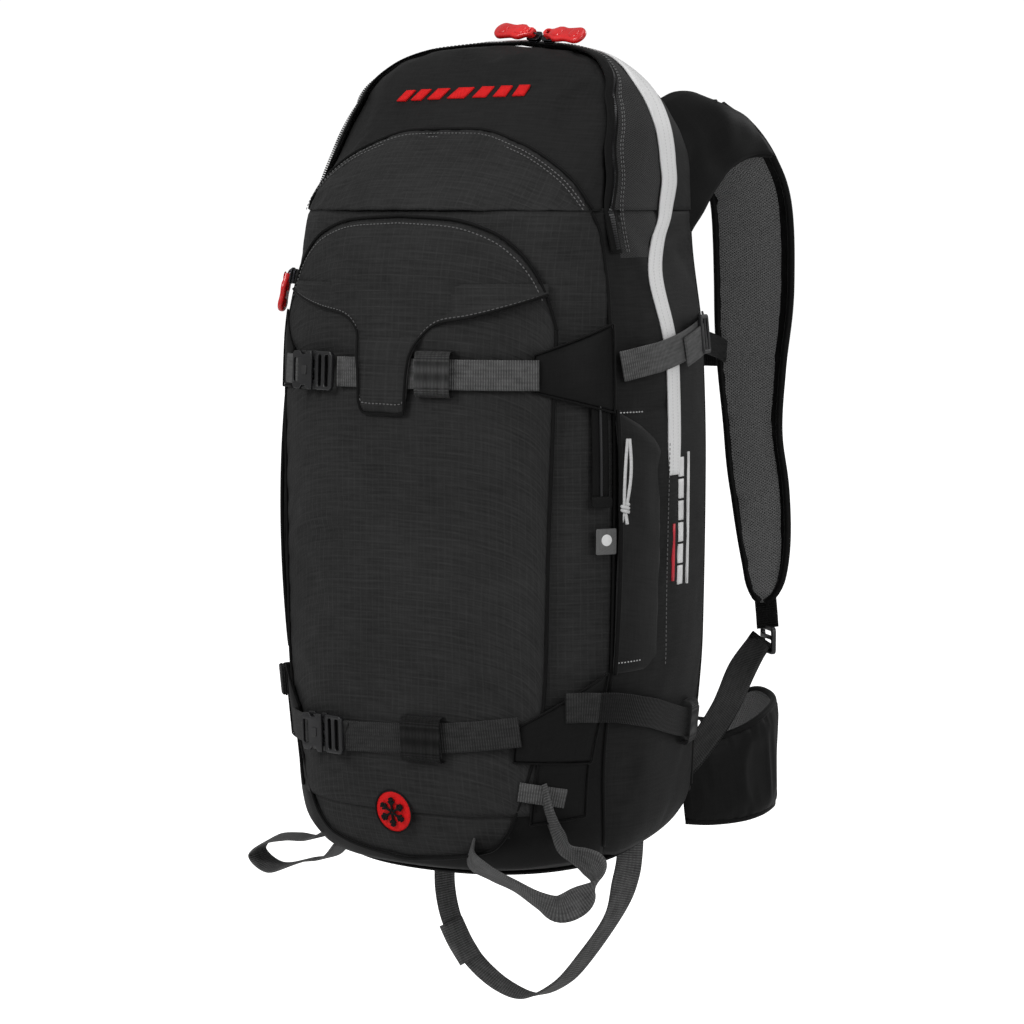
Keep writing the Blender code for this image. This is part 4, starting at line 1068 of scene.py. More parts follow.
def main_zip():
    """Coil on a tape strip, with two seams along one side of it."""
    def middle(z):
        return zip_u(z) + ZIP_SHIFT

    def reach(z):
        return np.minimum(0.0045 / per_u(zip_u(z), z), 0.30)

    tape_piece = arch_strip("main_zip_tape", lambda z: middle(z) - reach(z),
                            lambda z: middle(z) + reach(z), 0.0004, "binding", "pack", ZIP_END,
                            count=160, cols=9, seed=61, puff=0.0008, soft=0.0002, fine=0.0001,
                            thickness=0.001, reach=0.003)
    stands_for("main_zip")
    sign, z = arch_path(400, 0.426)
    line = on_bag(sign * middle(z), z, 0.0014)
    line = even(line, 400)
    normals = unit(np.gradient(line, axis=0))
    up = unit(line - np.array((0, -0.09, 0.30)))
    teeth_points, teeth_faces, teeth_uv = [], [], []
    run = running(line)
    count = int(run[-1] / 0.0016)
    for q in range(count):
        s = (q + 0.5) * run[-1] / count
        at = at_length(s, run, line)
        ahead = unit(at_length(s, run, normals))
        n = unit(at_length(s, run, up))
        side = unit(np.cross(n, ahead))
        n = np.cross(ahead, side)
        base = len(teeth_points)
        for e, h in ((-1.0, 0.0), (-0.7, 0.8), (0.7, 0.8), (1.0, 0.0)):
            for d in (-0.45, 0.45):
                teeth_points.append(at + side * e * 0.0024 + n * h * 0.0011 + ahead * d * 0.0013)
                teeth_uv.append((e * 0.0024, d * 0.001))
        for k in range(3):
            teeth_faces.append((base + 2 * k, base + 2 * k + 2, base + 2 * k + 3, base + 2 * k + 1))
        teeth_faces.append((base, base + 1, base + 7, base + 6))
        teeth_faces.append((base, base + 6, base + 4, base + 2))
        teeth_faces.append((base + 1, base + 3, base + 5, base + 7))
    coil = piece("main_zip_coil", teeth_points, teeth_faces, "plastic", "pack", teeth_uv,
                 smooth=False)
    for k, shift in ((2, 0.030), (4, 0.038)):
        sign, z = arch_path(260, ZIP_END)
        a = middle(z) + shift
        p = on_bag(sign * a, z, 0.0022)
        stitches("zip_stitches_%d" % k, even(p, 260), outward(sign * a, z), "thread", "pack")


def tool_flap():
    """T-shaped flap that narrows to a tab over the upper strap."""
    edge = np.array(T_EDGE)
    path = even(spline(edge, 200), 141)
    rows = 26
    tops = np.stack([np.linspace(-0.300, 0.330, 141), np.full(141, 0.404)], 1)
    k = span(0, 1, rows)[:, None, None]
    uz = path[None] * (1 - k) + tops[None] * k
    # the rows run from the flap's shaped edge up to a straight line under the seam
    u, z = uz[..., 0], uz[..., 1]
    tab = smooth((0.375 - z) / 0.02) * smooth((0.075 - np.abs(u)) / 0.03)
    near = np.clip(k[..., 0] * 3, 0, 1)
    lift = 0.0022 + 0.0018 * (1 - near) + 0.0050 * tab
    drop = smooth((0.326 - z) / 0.010) * 0.0030
    out = np.where(k[..., 0] > 0.7, 0.0020 + (lift - 0.0020) * (1 - k[..., 0]) / 0.3, lift) - drop
    p = on_bag(u, z, out)
    uv = np.stack([u * 0.30, z], -1).reshape(-1, 2)
    obj = piece("tool_flap", p.reshape(-1, 3), grid_faces(rows, 141), "ripstop", None, uv)
    thicken(obj, 0.0016)
    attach(obj, "pack")
    rim = on_bag(path[:, 0], path[:, 1], out[0] + 0.0002)
    tube("tool_flap_rim", rim, 0.0010, "binding", "pack", 8)
    inner = uz[2]
    stitches("tool_flap_stitches", on_bag(inner[:, 0], inner[:, 1], out[2] + 0.0003),
             outward(inner[:, 0], inner[:, 1]), "thread", "pack")


def gusset(name, corners, out, mat="satin", body="pack"):
    """Three or four cornered reinforcement sewn on the bag; corners go round it."""
    a, b, c, d = [np.array(q, float) for q in (corners if len(corners) == 4 else
                                               (*corners, corners[-1]))]
    i, j = mesh_grid(20, 24)
    i, j = i[..., None], j[..., None]
    uz = (a * (1 - j) + b * j) * (1 - i) + (d * (1 - j) + c * j) * i
    obj = bag_cloth(name, uz[..., 0], uz[..., 1], out, mat, body, puff=0.0014, soft=0.0004,
                    seed=len(name), reach=0.004)
    if sum(p.normal.dot(Vector(outward(*np.mean(corners, 0)))) for p in obj.data.polygons) < 0:
        obj.data.flip_normals()
    ring = [(*q, out + 0.0008) for q in (*corners, corners[0])]
    dense = even(np.array(ring), 90)
    tube(name + "_edge", on_bag(dense[:, 0], dense[:, 1], dense[:, 2]), 0.0007, "binding", body, 6)


# ------------------------------------------------------------------ straps and buckles of the bag
def keeper(name, u, z, out, mat, body="pack", length=0.022, height=0.029):
    """Wide loose loop round a strap."""
    m = surface_frame(u, z, out)
    profile = []
    for k in range(40):
        turn = 2 * math.pi * k / 40
        x, y = math.cos(turn), math.sin(turn)
        profile.append((0.0042 * math.copysign(abs(y) ** 0.7, y),
                        height / 2 * math.copysign(abs(x) ** 0.35, x)))
    rings, t = [], 0.0007
    for x in (-length / 2, length / 2):
        for inner in (0, 1):
            grow = -t if inner else t
            rings.append([m @ Vector((x, y + math.copysign(grow, y), n + math.copysign(grow, n)))
                          for n, y in profile])
    order = [rings[0], rings[2], rings[3], rings[1]]
    points = [p for ring in order for p in ring]
    count = len(profile)
    faces = grid_faces(4, count, loop=True)
    faces += [(3 * count + j, 3 * count + (j + 1) % count, (j + 1) % count, j)
              for j in range(count)]
    run = np.arange(count) / count * 2 * height
    uv = [(x, run[j]) for x in (-length / 2, length / 2, length / 2, -length / 2)
          for j in range(count)]
    obj = piece(name, points, faces, mat, body, uv)
    obj.data.set_sharp_from_angle(angle=math.radians(60))
    return obj


def buckle_socket(prefix, matrix, body, width=WEBBING):
    """Socket of a side release clip, with its side windows and the bar its webbing goes round."""
    h = width / 2 + CLIP_RIM

    def at(x, y, z):
        return matrix @ Matrix.Translation((x, y, z))

    shape = []
    for x, y in ((0.0, 0.62), (0.0, 1.0), (-0.0045, 1.0), (-0.0065, 0.80), (-0.0105, 0.80),
                 (-0.0130, 1.0), (-0.0190, 0.96), (-0.0205, 0.80)):
        shape.append((x, y * h))
    outline = shape + [(x, -y) for x, y in shape[::-1]]
    window = rounded(0.0052, 2 * h - 0.010, 0.0012, -0.0164)
    top = plate(prefix + "_clip_socket", [outline, window], 0.0022, 0.0006, at(0, 0, 0.0025),
                "plastic", body)
    plate(prefix + "_clip_socket_back", [outline, window], 0.0016, 0.0004, at(0, 0, -0.0026),
          "plastic", body)
    for k, y in enumerate((-0.35, 0.35)):
        plate("%s_clip_rib_%d" % (prefix, k + 1), [rounded(0.0115, 0.0022, 0.0009)], 0.0036, 0.0006,
              at(-0.0062, y * h, 0.0002), "plastic", body)
    for k, y in enumerate((-1, 1)):
        plate("%s_clip_wall_%d" % (prefix, k + 1), [rounded(0.0066, 0.0022, 0.0009)], 0.0044, 0.0006,
              at(-0.0165, y * (h - 0.0026), 0), "plastic", body)
    plate(prefix + "_clip_badge", [rounded(0.0050, 0.0062, 0.0012)], 0.0008, 0.00025,
          at(-0.0070, 0, 0.0038), "plastic_soft", body)
    stands_for(prefix + "_clip_female")


def buckle_fork(prefix, matrix, body, width=WEBBING, shift=0.0):
    """Fork of a side release clip: two sprung arms, a centre guide and a double webbing slot."""
    h = width / 2 + CLIP_RIM
    m = matrix @ Matrix.Translation((shift, 0, 0))
    frame_plate = plate(prefix + "_clip_fork", [rounded(0.0180, 2 * h, 0.0030, 0.0101),
                                                rounded(0.0036, width + 0.0010, 0.0014, 0.0066),
                                                rounded(0.0044, width + 0.0010, 0.0016, 0.0140)],
                        0.0034, 0.0008, m, "plastic", body)
    arms = []
    for sign in (-1, 1):
        arm = [(0.0020, h - 0.0034), (-0.0060, h - 0.0040), (-0.0085, h - 0.0014),
               (-0.0105, h - 0.0012), (-0.0130, h - 0.0034), (-0.0145, h - 0.0052),
               (-0.0128, h - 0.0060), (-0.0060, h - 0.0064), (0.0020, h - 0.0064)]
        arms.append([(x, sign * y) for x, y in (arm if sign < 0 else arm[::-1])])
    for k, arm in enumerate(arms):
        plate("%s_clip_arm_%d" % (prefix, k + 1), [arm], 0.0024, 0.0005, m, "plastic", body)
    plate(prefix + "_clip_guide", [rounded(0.0140, 0.0028, 0.0010, -0.0060)], 0.0022, 0.0005, m,
          "plastic", body)
    stands_for(prefix + "_clip_male")


def adjuster(name, matrix, body, width=WEBBING, length=0.0165):
    """Three-bar slider: a rounded ring with one inner bar."""
    slot = (length - 0.0072) / 2
    obj = plate(name, [rounded(length, width + 0.0066, 0.0028),
                       rounded(slot, width + 0.0012, 0.0012, -slot / 2 - 0.0010),
                       rounded(slot, width + 0.0012, 0.0012, slot / 2 + 0.0010)],
                0.0030, 0.0008, matrix, "plastic", body)
    return obj


def front_straps():
    for prefix, z, mat, out in (("upper", UPPER_STRAP_Z, "web_grey", 0.0062),
                                ("lower", LOWER_STRAP_Z, "web_dark", 0.0062)):
        u0 = -0.146 if prefix == "upper" else -0.132
        m = surface_frame(u0, z, 0.0082)
        buckle_socket(prefix, m, "pack")
        buckle_fork(prefix, m, prefix + "_clip_fork")
        end = 0.296 if prefix == "upper" else 0.262
        rise = 0.0 if prefix == "upper" else 0.010
        main = bag_strap(prefix + "_webbing", [(-0.086, z, 0.0080), (-0.06, z, out),
                                               (0.10, z + 0.45 * rise, out),
                                               (0.20, z + 0.8 * rise, out - 0.001),
                                               (end, z + rise, 0.0045)],
                         mat, count=60)
        stands_for(prefix + "_strap")
        bag_strap(prefix + "_webbing_under", [(-0.089, z, 0.0062), (-0.04, z, out - 0.0022),
                                              (0.10, z, out - 0.0022)], mat, count=30)
        bag_strap(prefix + "_webbing_left", [(u0 - 0.052, z, 0.0080), (-0.24, z, 0.0056),
                                             (-0.285, z, 0.0040)], mat, count=24)
        keeper(prefix + "_keeper", 0.088 if prefix == "upper" else 0.066, z + 0.3 * rise,
               out - 0.0004, mat, length=0.026 if prefix == "upper" else 0.030)
    gusset("upper_gusset_left", [(-0.330, 0.332), (-0.262, 0.333), (-0.262, 0.358),
                                 (-0.345, 0.384)], 0.0022)
    gusset("upper_gusset_right", [(0.284, 0.334), (0.478, 0.320), (0.484, 0.378),
                                  (0.284, 0.358)], 0.0022)
    gusset("lower_gusset_left", [(-0.345, 0.090), (-0.262, 0.090), (-0.262, 0.113),
                                 (-0.345, 0.140)], 0.0022)
    gusset("lower_gusset_right", [(0.250, 0.090), (0.440, 0.086), (0.468, 0.148),
                                  (0.250, 0.113)], 0.0022)
    gusset("base_tab", [(0.285, 0.046), (0.425, 0.048), (0.436, 0.090), (0.310, 0.096)], 0.0012)
    bar_web = bag_strap("base_bar", [(0.262, 0.0700, 0.0024), (0.318, 0.0670, 0.0040),
                                     (0.372, 0.0630, 0.0024)], "web_grey", width=0.0130, count=30)


def side_straps():
    for side, sign in SIDES:
        def route(points):
            return [(sign * u, z, out) for u, z, out in points]
        upper = bag_strap("upper_side_webbing_" + side, route([
            (0.500, 0.350, 0.0040), (0.58, 0.354, 0.0072), (0.70, 0.359, 0.0072),
            (0.84, 0.366, 0.0072), (0.92, 0.370, 0.0066), (0.985, 0.373, 0.0030)]), "web_grey",
            count=50)
        stands_for("upper_side_strap_" + side)
        m = surface_frame(sign * 0.868, 0.3675, 0.0102)
        adjuster("upper_side_adjuster_" + side, m, "pack")
        bag_strap("upper_side_tail_" + side, route([
            (0.885, 0.366, 0.0098), (0.80, 0.361, 0.0096), (0.735, 0.357, 0.0094)]), "web_grey",
            count=24)
        lower = bag_strap("lower_side_webbing_" + side, route([
            (0.360, 0.126, 0.0040), (0.430, 0.1255, 0.0052), (0.520, 0.122, 0.0062),
            (0.68, 0.108, 0.0062), (0.80, 0.098, 0.0062), (0.90, 0.092, 0.0058),
            (0.985, 0.088, 0.0030)]), "web_black",
            count=50)
        stands_for("lower_side_strap_" + side)
        bag_strap("lower_side_end_" + side, route([
            (0.362, 0.1265, 0.0056), (0.400, 0.1265, 0.0066), (0.440, 0.1255, 0.0068)]), "web_dark",
            count=12)
        keeper("lower_side_keeper_" + side, sign * 0.835, 0.0965, 0.0060, "web_grey", length=0.014)


def side_pockets():
    for side, sign in SIDES:
        i, j = mesh_grid(50, 44)
        a = POCKET_U + POCKET_WIDTH * j
        z = POCKET_LOW + (0.152 + 0.024 * (1 - j)) * i
        sag = 0.0022 * np.exp(-((i - 0.96) / 0.05) ** 2) * np.sin(math.pi * j)
        sunk = np.maximum(smooth((j - 0.80) / 0.20), smooth((i - 0.93) / 0.07))
        out = 0.0008 + 0.0018 * np.exp(-j / 0.05) * np.sin(math.pi * i) + sag - 0.0018 * sunk
        order = slice(None) if sign > 0 else slice(None, None, -1)
        pocket = bag_cloth("side_pocket_cloth_" + side, (sign * a)[:, order], z[:, order],
                           out[:, order], "stretch", seed=71 + sign, puff=0.0022, pinned="tb"
                           + ("r" if sign > 0 else "l"), soft=0.0011, reach=0.016)
        stands_for("side_pocket_" + side)
        mouth = [(sign * POCKET_U, float(z0), 0.0030 + 0.0030 * math.sin(math.pi * k / 12))
                 for k, z0 in enumerate(span(POCKET_LOW, 0.322, 13))]
        bag_tube("pocket_mouth_" + side, mouth, 0.0015, "binding", count=70)
        for k, (z0, name) in enumerate(((0.320, "top"), (0.154, "low"))):
            row = [(sign * u, z0, 0.0042) for u in span(POCKET_U, 0.560, 6)]
            bag_stitches("pocket_bartack_%s_%s" % (name, side), row, "thread_light", count=24,
                         pitch=0.0026, length=0.0016, radius=0.00035)
        seam = [(sign * u, z0, 0.0034) for u, z0 in ((0.672, 0.298), (0.664, 0.25), (0.662, 0.20),
                                                     (0.668, 0.146))]
        bag_stitches("pocket_seam_" + side, seam, "thread", count=60)


def trims():
    """Tag, small front zip, printed stripes, the flap's bars and the round patch."""
    m = surface_frame(0.452, 0.236, 0.0030)
    plate("side_tag", [rounded(0.0150, 0.0170, 0.0010)], 0.0011, 0.0003, m, "trim_grey", "pack")
    dot = []
    for k in range(28):
        turn = 2 * math.pi * k / 28
        dot.append((0.0038 * math.cos(turn), 0.0038 * math.sin(turn) + 0.001))
    plate("side_tag_dot", [dot], 0.0004, 0.0001, m @ Matrix.Translation((0, 0, 0.0007)),
          "print_white", "pack")
    tape_knots = [(0.440, 0.330, 0.0006), (0.440, 0.296, 0.0008), (0.441, 0.262, 0.0006)]
    bag_strap("small_zip_tape", tape_knots, "binding", width=0.012, thickness=0.001, count=30)
    bag_tube("small_zip_coil", [(u, z, o + 0.0010) for u, z, o in tape_knots], 0.0011, "plastic",
             count=30)
    garage = surface_frame(0.440, 0.262, 0.0028)
    plate("small_zip_garage", [rounded(0.0150, 0.0075, 0.0020)], 0.0022, 0.0007, garage, "satin",
          "pack")
    for name, mat, u, half, z0, z1, parts in (
            ("print_red_line", "print_red", 0.700, 0.0052, 0.204, 0.243, 1),
            ("print_white_bar", "print_white", 0.742, 0.0135, 0.200, 0.288, 6),
            ("print_white_line", "print_white", 0.792, 0.0044, 0.200, 0.290, 1)):
        for sign, side in ((-1, "left"), (1, "right")):
            step = (z1 - z0) / parts
            pts, faces, uvs = [], [], []
            for q in range(parts):
                i, j = mesh_grid(7, 7)
                zz = z0 + step * (q + (0.06 if parts > 1 else 0) + i * (0.88 if parts > 1 else 1))
                uu = sign * (u + half * (2 * j - 1) * (1 if sign > 0 else -1))
                base = len(pts)
                p = on_bag(uu, zz, 0.0034).reshape(-1, 3)
                pts += list(p)
                uvs += [(a, b) for a, b in zip(uu.ravel() * 0.3, zz.ravel())]
                faces += [tuple(base + v for v in f) for f in grid_faces(7, 7)]
            obj = piece("%s_%s" % (name, side), pts, faces, mat, None, uvs)
            thicken(obj, 0.0024)
            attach(obj, "pack")
    for k in range(7):
        u0 = -0.165 + 0.340 * k / 7
        wide, lean = 0.030, 0.016
        i, j = mesh_grid(5, 5)
        uu = u0 + lean * i + wide * j
        zz = 0.5255 + 0.0072 * i + 0.006 * (u0 + 0.165) / 0.34 * 0.4
        obj = piece("lid_bar_%d" % (k + 1), on_bag(uu, zz, 0.0008).reshape(-1, 3), grid_faces(5, 5),
                    "embroidery", None, np.stack([uu * 0.3, zz], -1).reshape(-1, 2))
        thicken(obj, 0.0016, 0)
        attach(obj, "top_flap")
    patch()


def patch():
    """Round embroidered patch with a snow crystal."""
    m = surface_frame(0.0, 0.052, 0.0024)
    r = 0.0148
    points, faces, uvs = [], [], []
    rings, sides = 8, 48
    for i in range(rings + 1):
        for j in range(sides):
            turn = 2 * math.pi * j / sides
            d = r * i / rings
            x, y = d * math.cos(turn), d * math.sin(turn)
            height = 0.0008 * (1 - (i / rings) ** 6)
            points.append(m @ Vector((x, y, height)))
            uvs.append((x, y))
    faces = grid_faces(rings + 1, sides, loop=True)
    disc = piece("patch_disc", points, faces, "embroidery", "pack", uvs)
    thicken(disc, 0.0010, 1)
    ring = [m @ Vector((r * math.cos(2 * math.pi * k / 60), r * math.sin(2 * math.pi * k / 60), 0.0004))
            for k in range(61)]
    tube("patch_border", ring, 0.0007, "thread_dark", "pack", 8)
    for k in range(6):
        turn = Matrix.Rotation(math.pi / 3 * k, 4, "Z")
        for q, (a, b) in enumerate((((0, 0.0006), (0, 0.0104)), ((0, 0.0052), (0.0024, 0.0076)),
                                    ((0, 0.0052), (-0.0024, 0.0076)), ((0, 0.0078), (0.0017, 0.0096)),
                                    ((0, 0.0078), (-0.0017, 0.0096)))):
            ends = [m @ turn @ Vector((*e, 0.0022)) for e in (a, b)]
            bar("patch_crystal_%d_%d" % (k + 1, q + 1), ends[0], ends[1], 0.00085, "thread_dark",
                "pack")


def loops():
    """Ice tool loops and the leg loop, with their ends sewn into the bag."""
    hidden = {"left": ([((-0.0850, -0.1500, 0.0260), (0, 1, 0.1))],
                       [((-0.0800, -0.1480, 0.0160), (0, 1, 0))]),
              "right": ([((0.0990, -0.1690, 0.0740), (0.9, -0.4, 0)),
                         ((0.1050, -0.1690, 0.0590), (0.88, -0.47, 0))],
                        [((0.0610, -0.1900, 0.0240), (0.68, -0.62, 0.38)),
                         ((0.0480, -0.1760, 0.0310), (0.68, -0.62, 0.38))])}
    for side, route in (("left", TOOL_LOOP_LEFT), ("right", list(zip(TOOL_LOOP_RIGHT, LOOP_TWIST)))):
        first, last = hidden[side]
        whole = first + route + last
        loop = strap("tool_loop_web_" + side, design([p for p, w in whole]),
                     [w for p, w in whole], "web_grey", "pack", count=90)
        stands_for("tool_loop_" + side)
    legs = LEG_LOOP + [(0.0995, -0.0600, 0.0300), (0.0960, -0.0600, 0.0480)]
    leg = strap("leg_loop_web", design(legs), [(0.25, 1, 0)] * 9 + [(0.75, 0.65, 0)] * 4,
                "web_grey", "pack", width=0.0180, count=130)
    stands_for("leg_loop")
    fold = design([(-0.0228, -0.1010, -0.0415), (-0.0160, -0.0995, -0.0550),
                   (-0.0075, -0.0980, -0.0675)])
    strap("leg_loop_fold", fold, [(0.25, 1, 0)] * 3, "web_grey", "pack", width=0.0205,
          thickness=0.0040, count=16)


# ------------------------------------------------------------------ zip pulls
def pull_shape(length, half):
    """Outline of a moulded pull: narrow at its hinge, waisted, round at its end."""
    top = [(-0.0012, 0.0028), (0.0050, 0.0040), (0.26 * length, 0.92 * half),
           (0.36 * length, 0.96 * half), (0.50 * length, 0.80 * half), (0.60 * length, 0.84 * half)]
    out = list(top)
    for k in range(13):
        turn = math.pi / 2 - math.pi * k / 12
        out.append((length - half + half * math.cos(turn), half * math.sin(turn)))
    return (out + [(x, -y) for x, y in top[::-1]])[::-1]


def slider(prefix, matrix, length, half):
    """Slider body with its bridge, and the pull that hangs in it."""
    body = prefix + "_slider"
    base = plate(prefix + "_slider_body", [rounded(0.0115, 0.0082, 0.0026)], 0.0014, 0.0004,
                 matrix @ Matrix.Translation((0, 0, 0.0010)), "black_metal", body)
    plate(prefix + "_slider_foot", [rounded(0.0105, 0.0078, 0.0026)], 0.0012, 0.0003,
          matrix @ Matrix.Translation((0, 0, -0.0013)), "black_metal", body)
    bridge = [matrix @ Vector(p) for p in ((-0.0044, 0, 0.0014), (-0.0036, 0, 0.0030),
                                           (-0.0012, 0, 0.0040), (0.0016, 0, 0.0040),
                                           (0.0036, 0, 0.0028), (0.0044, 0, 0.0014))]
    tube(prefix + "_slider_bridge", spline([tuple(p) for p in bridge], 18), 0.0007, "black_metal",
         body, 8)
    stands_for(prefix + "_slider")
    hinge = matrix @ Matrix.Translation((0, 0, 0.0042))
    pull = plate(prefix + "_pull_body", [pull_shape(length, half),
                                         rounded(0.0030, 0.0026, 0.0010, 0.0012)],
                 0.0042, 0.0016, hinge, "red", prefix + "_pull")
    lobes = [rounded(length * 0.30, half * 1.1, half * 0.5, length * 0.30),
             rounded(length * 0.26, half * 1.2, half * 0.55, length * 0.76)]
    for k, lobe in enumerate(lobes):
        plate("%s_pull_ridge_%d" % (prefix, k + 1), [lobe], 0.0056, 0.0012, hinge, "red",
              prefix + "_pull")
    stands_for(prefix + "_pull")


def frame_box_middle(node):
    a, b = [np.array(v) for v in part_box(node)]
    return (a + b) / 2


def zip_pulls():
    """Sliders sit where the frame has them; their directions follow the zip over the crown."""
    sign, z = arch_path(2001, 0.42)
    line = on_bag(sign * (zip_u(z) + ZIP_SHIFT), z, 0.0058)
    line = even(line, 2001)
    for side, way in (("left", -1), ("right", 1)):
        middle = frame_box_middle("main_zip_%s_slider" % side)
        at = int(np.argmin(np.linalg.norm(line - middle, axis=1)))
        ahead = Vector(line[min(at + 12, 2000)] - line[max(at - 12, 0)]).normalized() * way
        n = Vector((0, -0.7, 0.7))
        n = (n - ahead * n.dot(ahead)).normalized()
        m = Matrix((ahead, n.cross(ahead), n)).transposed().to_4x4()
        m.translation = Vector(middle)
        slider("main_zip_" + side, m, 0.034, 0.0068)
    m = surface_frame(-0.485, 0.405, 0.0064) @ Matrix.Rotation(-math.pi / 2, 4, "Z")
    slider("tool_zip", m, 0.026, 0.0060)
    bag_tube("tool_zip_coil", [(-0.485, 0.425, 0.0016), (-0.486, 0.38, 0.0018), (-0.485, 0.330, 0.0016)],
             0.0014, "plastic", count=40)


# ------------------------------------------------------------------ back and harness
def back_system():
    rows, cols = 110, 72
    i, j = mesh_grid(rows, cols)
    low, high = BACK_PAD
    z = low + (high - low) * i
    half = half_width(z) * (1 - back_taper(z)) - 0.006
    s = 2 * j - 1
    x = half * s
    pads = 0.0042 * np.abs(np.cos(1.5 * math.pi * s)) ** 0.6 * (0.5 + 0.5 * np.abs(
        np.cos(4.0 * math.pi * i)) ** 0.5)
    rim = 1 - np.exp(-np.minimum(half * (1 - np.abs(s)), np.minimum(z - low, high - z)) / 0.006)
    y = 0.0068 + pads * rim
    p = np.stack([-x, y, z], -1) - HANG
    p[..., 1] += 0.0004 * wander(p, 0.03, 81) * rim
    pad = cloth_grid("back_pad", p, "back_mesh", "pack", thickness=0.0062)
    stands_for("back_panel")
    edge = np.concatenate([p[0], p[1:, -1], p[-1, ::-1][1:], p[::-1, 0][1:]])
    tube("back_pad_binding", even(edge, 400)[:-1], 0.0024, "binding", "pack", 8)
    i, j = mesh_grid(70, 40)
    z = 0.036 + (TOP - 0.020 - 0.036) * i
    half = half_width(z) * (1 - back_taper(z)) - 0.0100
    q = np.stack([-half * (2 * j - 1), back_y(z) - 0.0030, z], -1) - HANG
    q[..., 1] += 0.0008 * wander(q, 0.05, 83)
    wall = cloth_grid("back_wall_cloth", q, "nylon", "pack", thickness=0.0016)
    stands_for("back_wall")
    haul_loop()


def haul_loop():
    route = [(-0.022, 0.0145, 0.518), (-0.021, 0.0160, 0.536), (-0.015, 0.0175, 0.553),
             (0, 0.0180, 0.5608), (0.015, 0.0175, 0.553), (0.021, 0.0160, 0.536),
             (0.022, 0.0145, 0.518)]
    loop = strap("haul_loop_web", design(route), [(0, 1, 0)] * 7, "web_grey", "pack", width=0.016,
                 count=50)
    stands_for("haul_loop")


PAD_SIDES = 36              # points round a padded strap's section
PAD_EDGES = (0, 18)         # the two of them on its edges


def pad_section(h, t, inner_flat=0.55, count=PAD_SIDES):
    """Closed pillow section: domed outside, flatter inside; x runs across, y to the outside."""
    out = []
    for k in range(count):
        turn = 2 * math.pi * k / count
        c, s = math.cos(turn), math.sin(turn)
        x = h * math.copysign(abs(c) ** 0.75, c)
        y = t * math.copysign(abs(s) ** 0.8, s) * (1.0 if s > 0 else inner_flat)
        out.append((x, y))
    return out


def padded_sweep(name, knots, ways, t, mats, body, count, slack=0.03, cap=0.003,
                 inset=(18, 36)):
    """Padded strap: a pillow section swept along, its two sides of different cloth."""
    p = even(spline([k[0] for k in knots], count * 3), count)
    run = span(0, 1, count)
    halves = spline([(k[1], 0) for k in knots], count)[:, 0]
    tongue = np.clip((run - 1) / 0.05 + 1, 0, 1)
    halves = halves * np.sqrt(np.maximum(1 - tongue ** 2, 0.04))
    ways = spline(ways, count)
    ends = np.clip(np.minimum(run, 1 - run) / 0.02, 0.25, 1) ** 0.5
    obj = section_sweep(name, p - HANG, ways, lambda k: pad_section(halves[k], t / 2 * ends[k]),
                        mats, None, index=lambda j: int(inset[0] <= j < inset[1]))
    pins = [k * PAD_SIDES + j for k in range(count) for j in PAD_EDGES]
    settle(obj, pins, 3.0, slack, cap)
    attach(obj, body)
    edges = []
    for j in PAD_EDGES:
        edges.append(np.array([obj.data.vertices[k * PAD_SIDES + j].co[:] for k in range(count)]))
    return obj, edges


def harness():
    for side, sign in SIDES:
        body = "strap_" + side
        knots = [((sign * k[0][0], k[0][1], k[0][2]), k[1] - 0.001) for k in STRAP]
        ways = [(1, 0, 0)] * len(knots)
        mats = ["satin", "foam_mesh"]
        pad, edges = padded_sweep("shoulder_pad_" + side, knots, ways, 0.010, mats, body, 96,
                                  inset=(21, 31) if sign > 0 else (23, 33))
        stands_for("shoulder_strap_" + side)
        for k, edge in enumerate(edges):
            tube("shoulder_binding_%s_%d" % (side, k + 1), edge, 0.0026, "binding", body, 8)
        lock(side, sign, body)
        lower_webbing(side, sign)
        stabiliser(side, sign)
        shoulder_cover(side, sign)
    yoke()
    chest()


def lock(side, sign, body):
    """Ladder lock at the foot of the strap, with the short webbing that holds it."""
    at = np.array((sign * 0.1060, 0.1110, 0.1440)) - HANG
    m = (Matrix.Translation(Vector(at)) @ Matrix.Rotation(-sign * math.radians(40), 4, "Z")
         @ Matrix.Rotation(math.pi / 2, 4, "X"))
    frame_part = plate("ladder_lock_frame_" + side,
                       [rounded(0.0260, 0.0200, 0.0034), rounded(0.0206, 0.0036, 0.0014, 0, 0.0048),
                        rounded(0.0206, 0.0036, 0.0014, 0, -0.0010)],
                       0.0036, 0.0010, m, "plastic", body)
    for k, y in enumerate((0.0020, -0.0042, -0.0084)):
        bar("ladder_lock_bar_%s_%d" % (side, k + 1), m @ Vector((-0.0112, y, 0.0012)),
            m @ Vector((0.0112, y, 0.0012)), 0.0015, "plastic", body)
    stands_for("ladder_lock_" + side)
    hanger = design([(sign * 0.1005, 0.1150, 0.1780), (sign * 0.1030, 0.1135, 0.1640),
                     (sign * 0.1050, 0.1120, 0.1520)])
    strap("ladder_lock_hanger_" + side, hanger, [(1, 0, 0)] * 3, "web_black", body, width=0.018,
          count=12)


def lower_webbing(side, sign):
    """Doubled webbing from behind the bag's lower corner up to the ladder lock."""
    web = [(sign * x, y, z) for x, y, z in WEB_RUN]
    ways = [(sign * x, y, z) for x, y, z in WEB_WAYS]
    main = strap("lower_web_" + side, design(web), ways, "web_black", None, count=80)
    shift = np.array((sign * 0.0022, -0.0012, 0.0040))
    second = [tuple(np.array(p) + shift * min(1, k / 2, (len(web) - 1 - k) / 2))
              for k, p in enumerate(web)]
    tail = strap("lower_web_tail_" + side, design(second), ways, "web_dark", None, count=80)
    for obj in (main, tail):
        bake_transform(obj)
    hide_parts("lower_webbing_" + side)


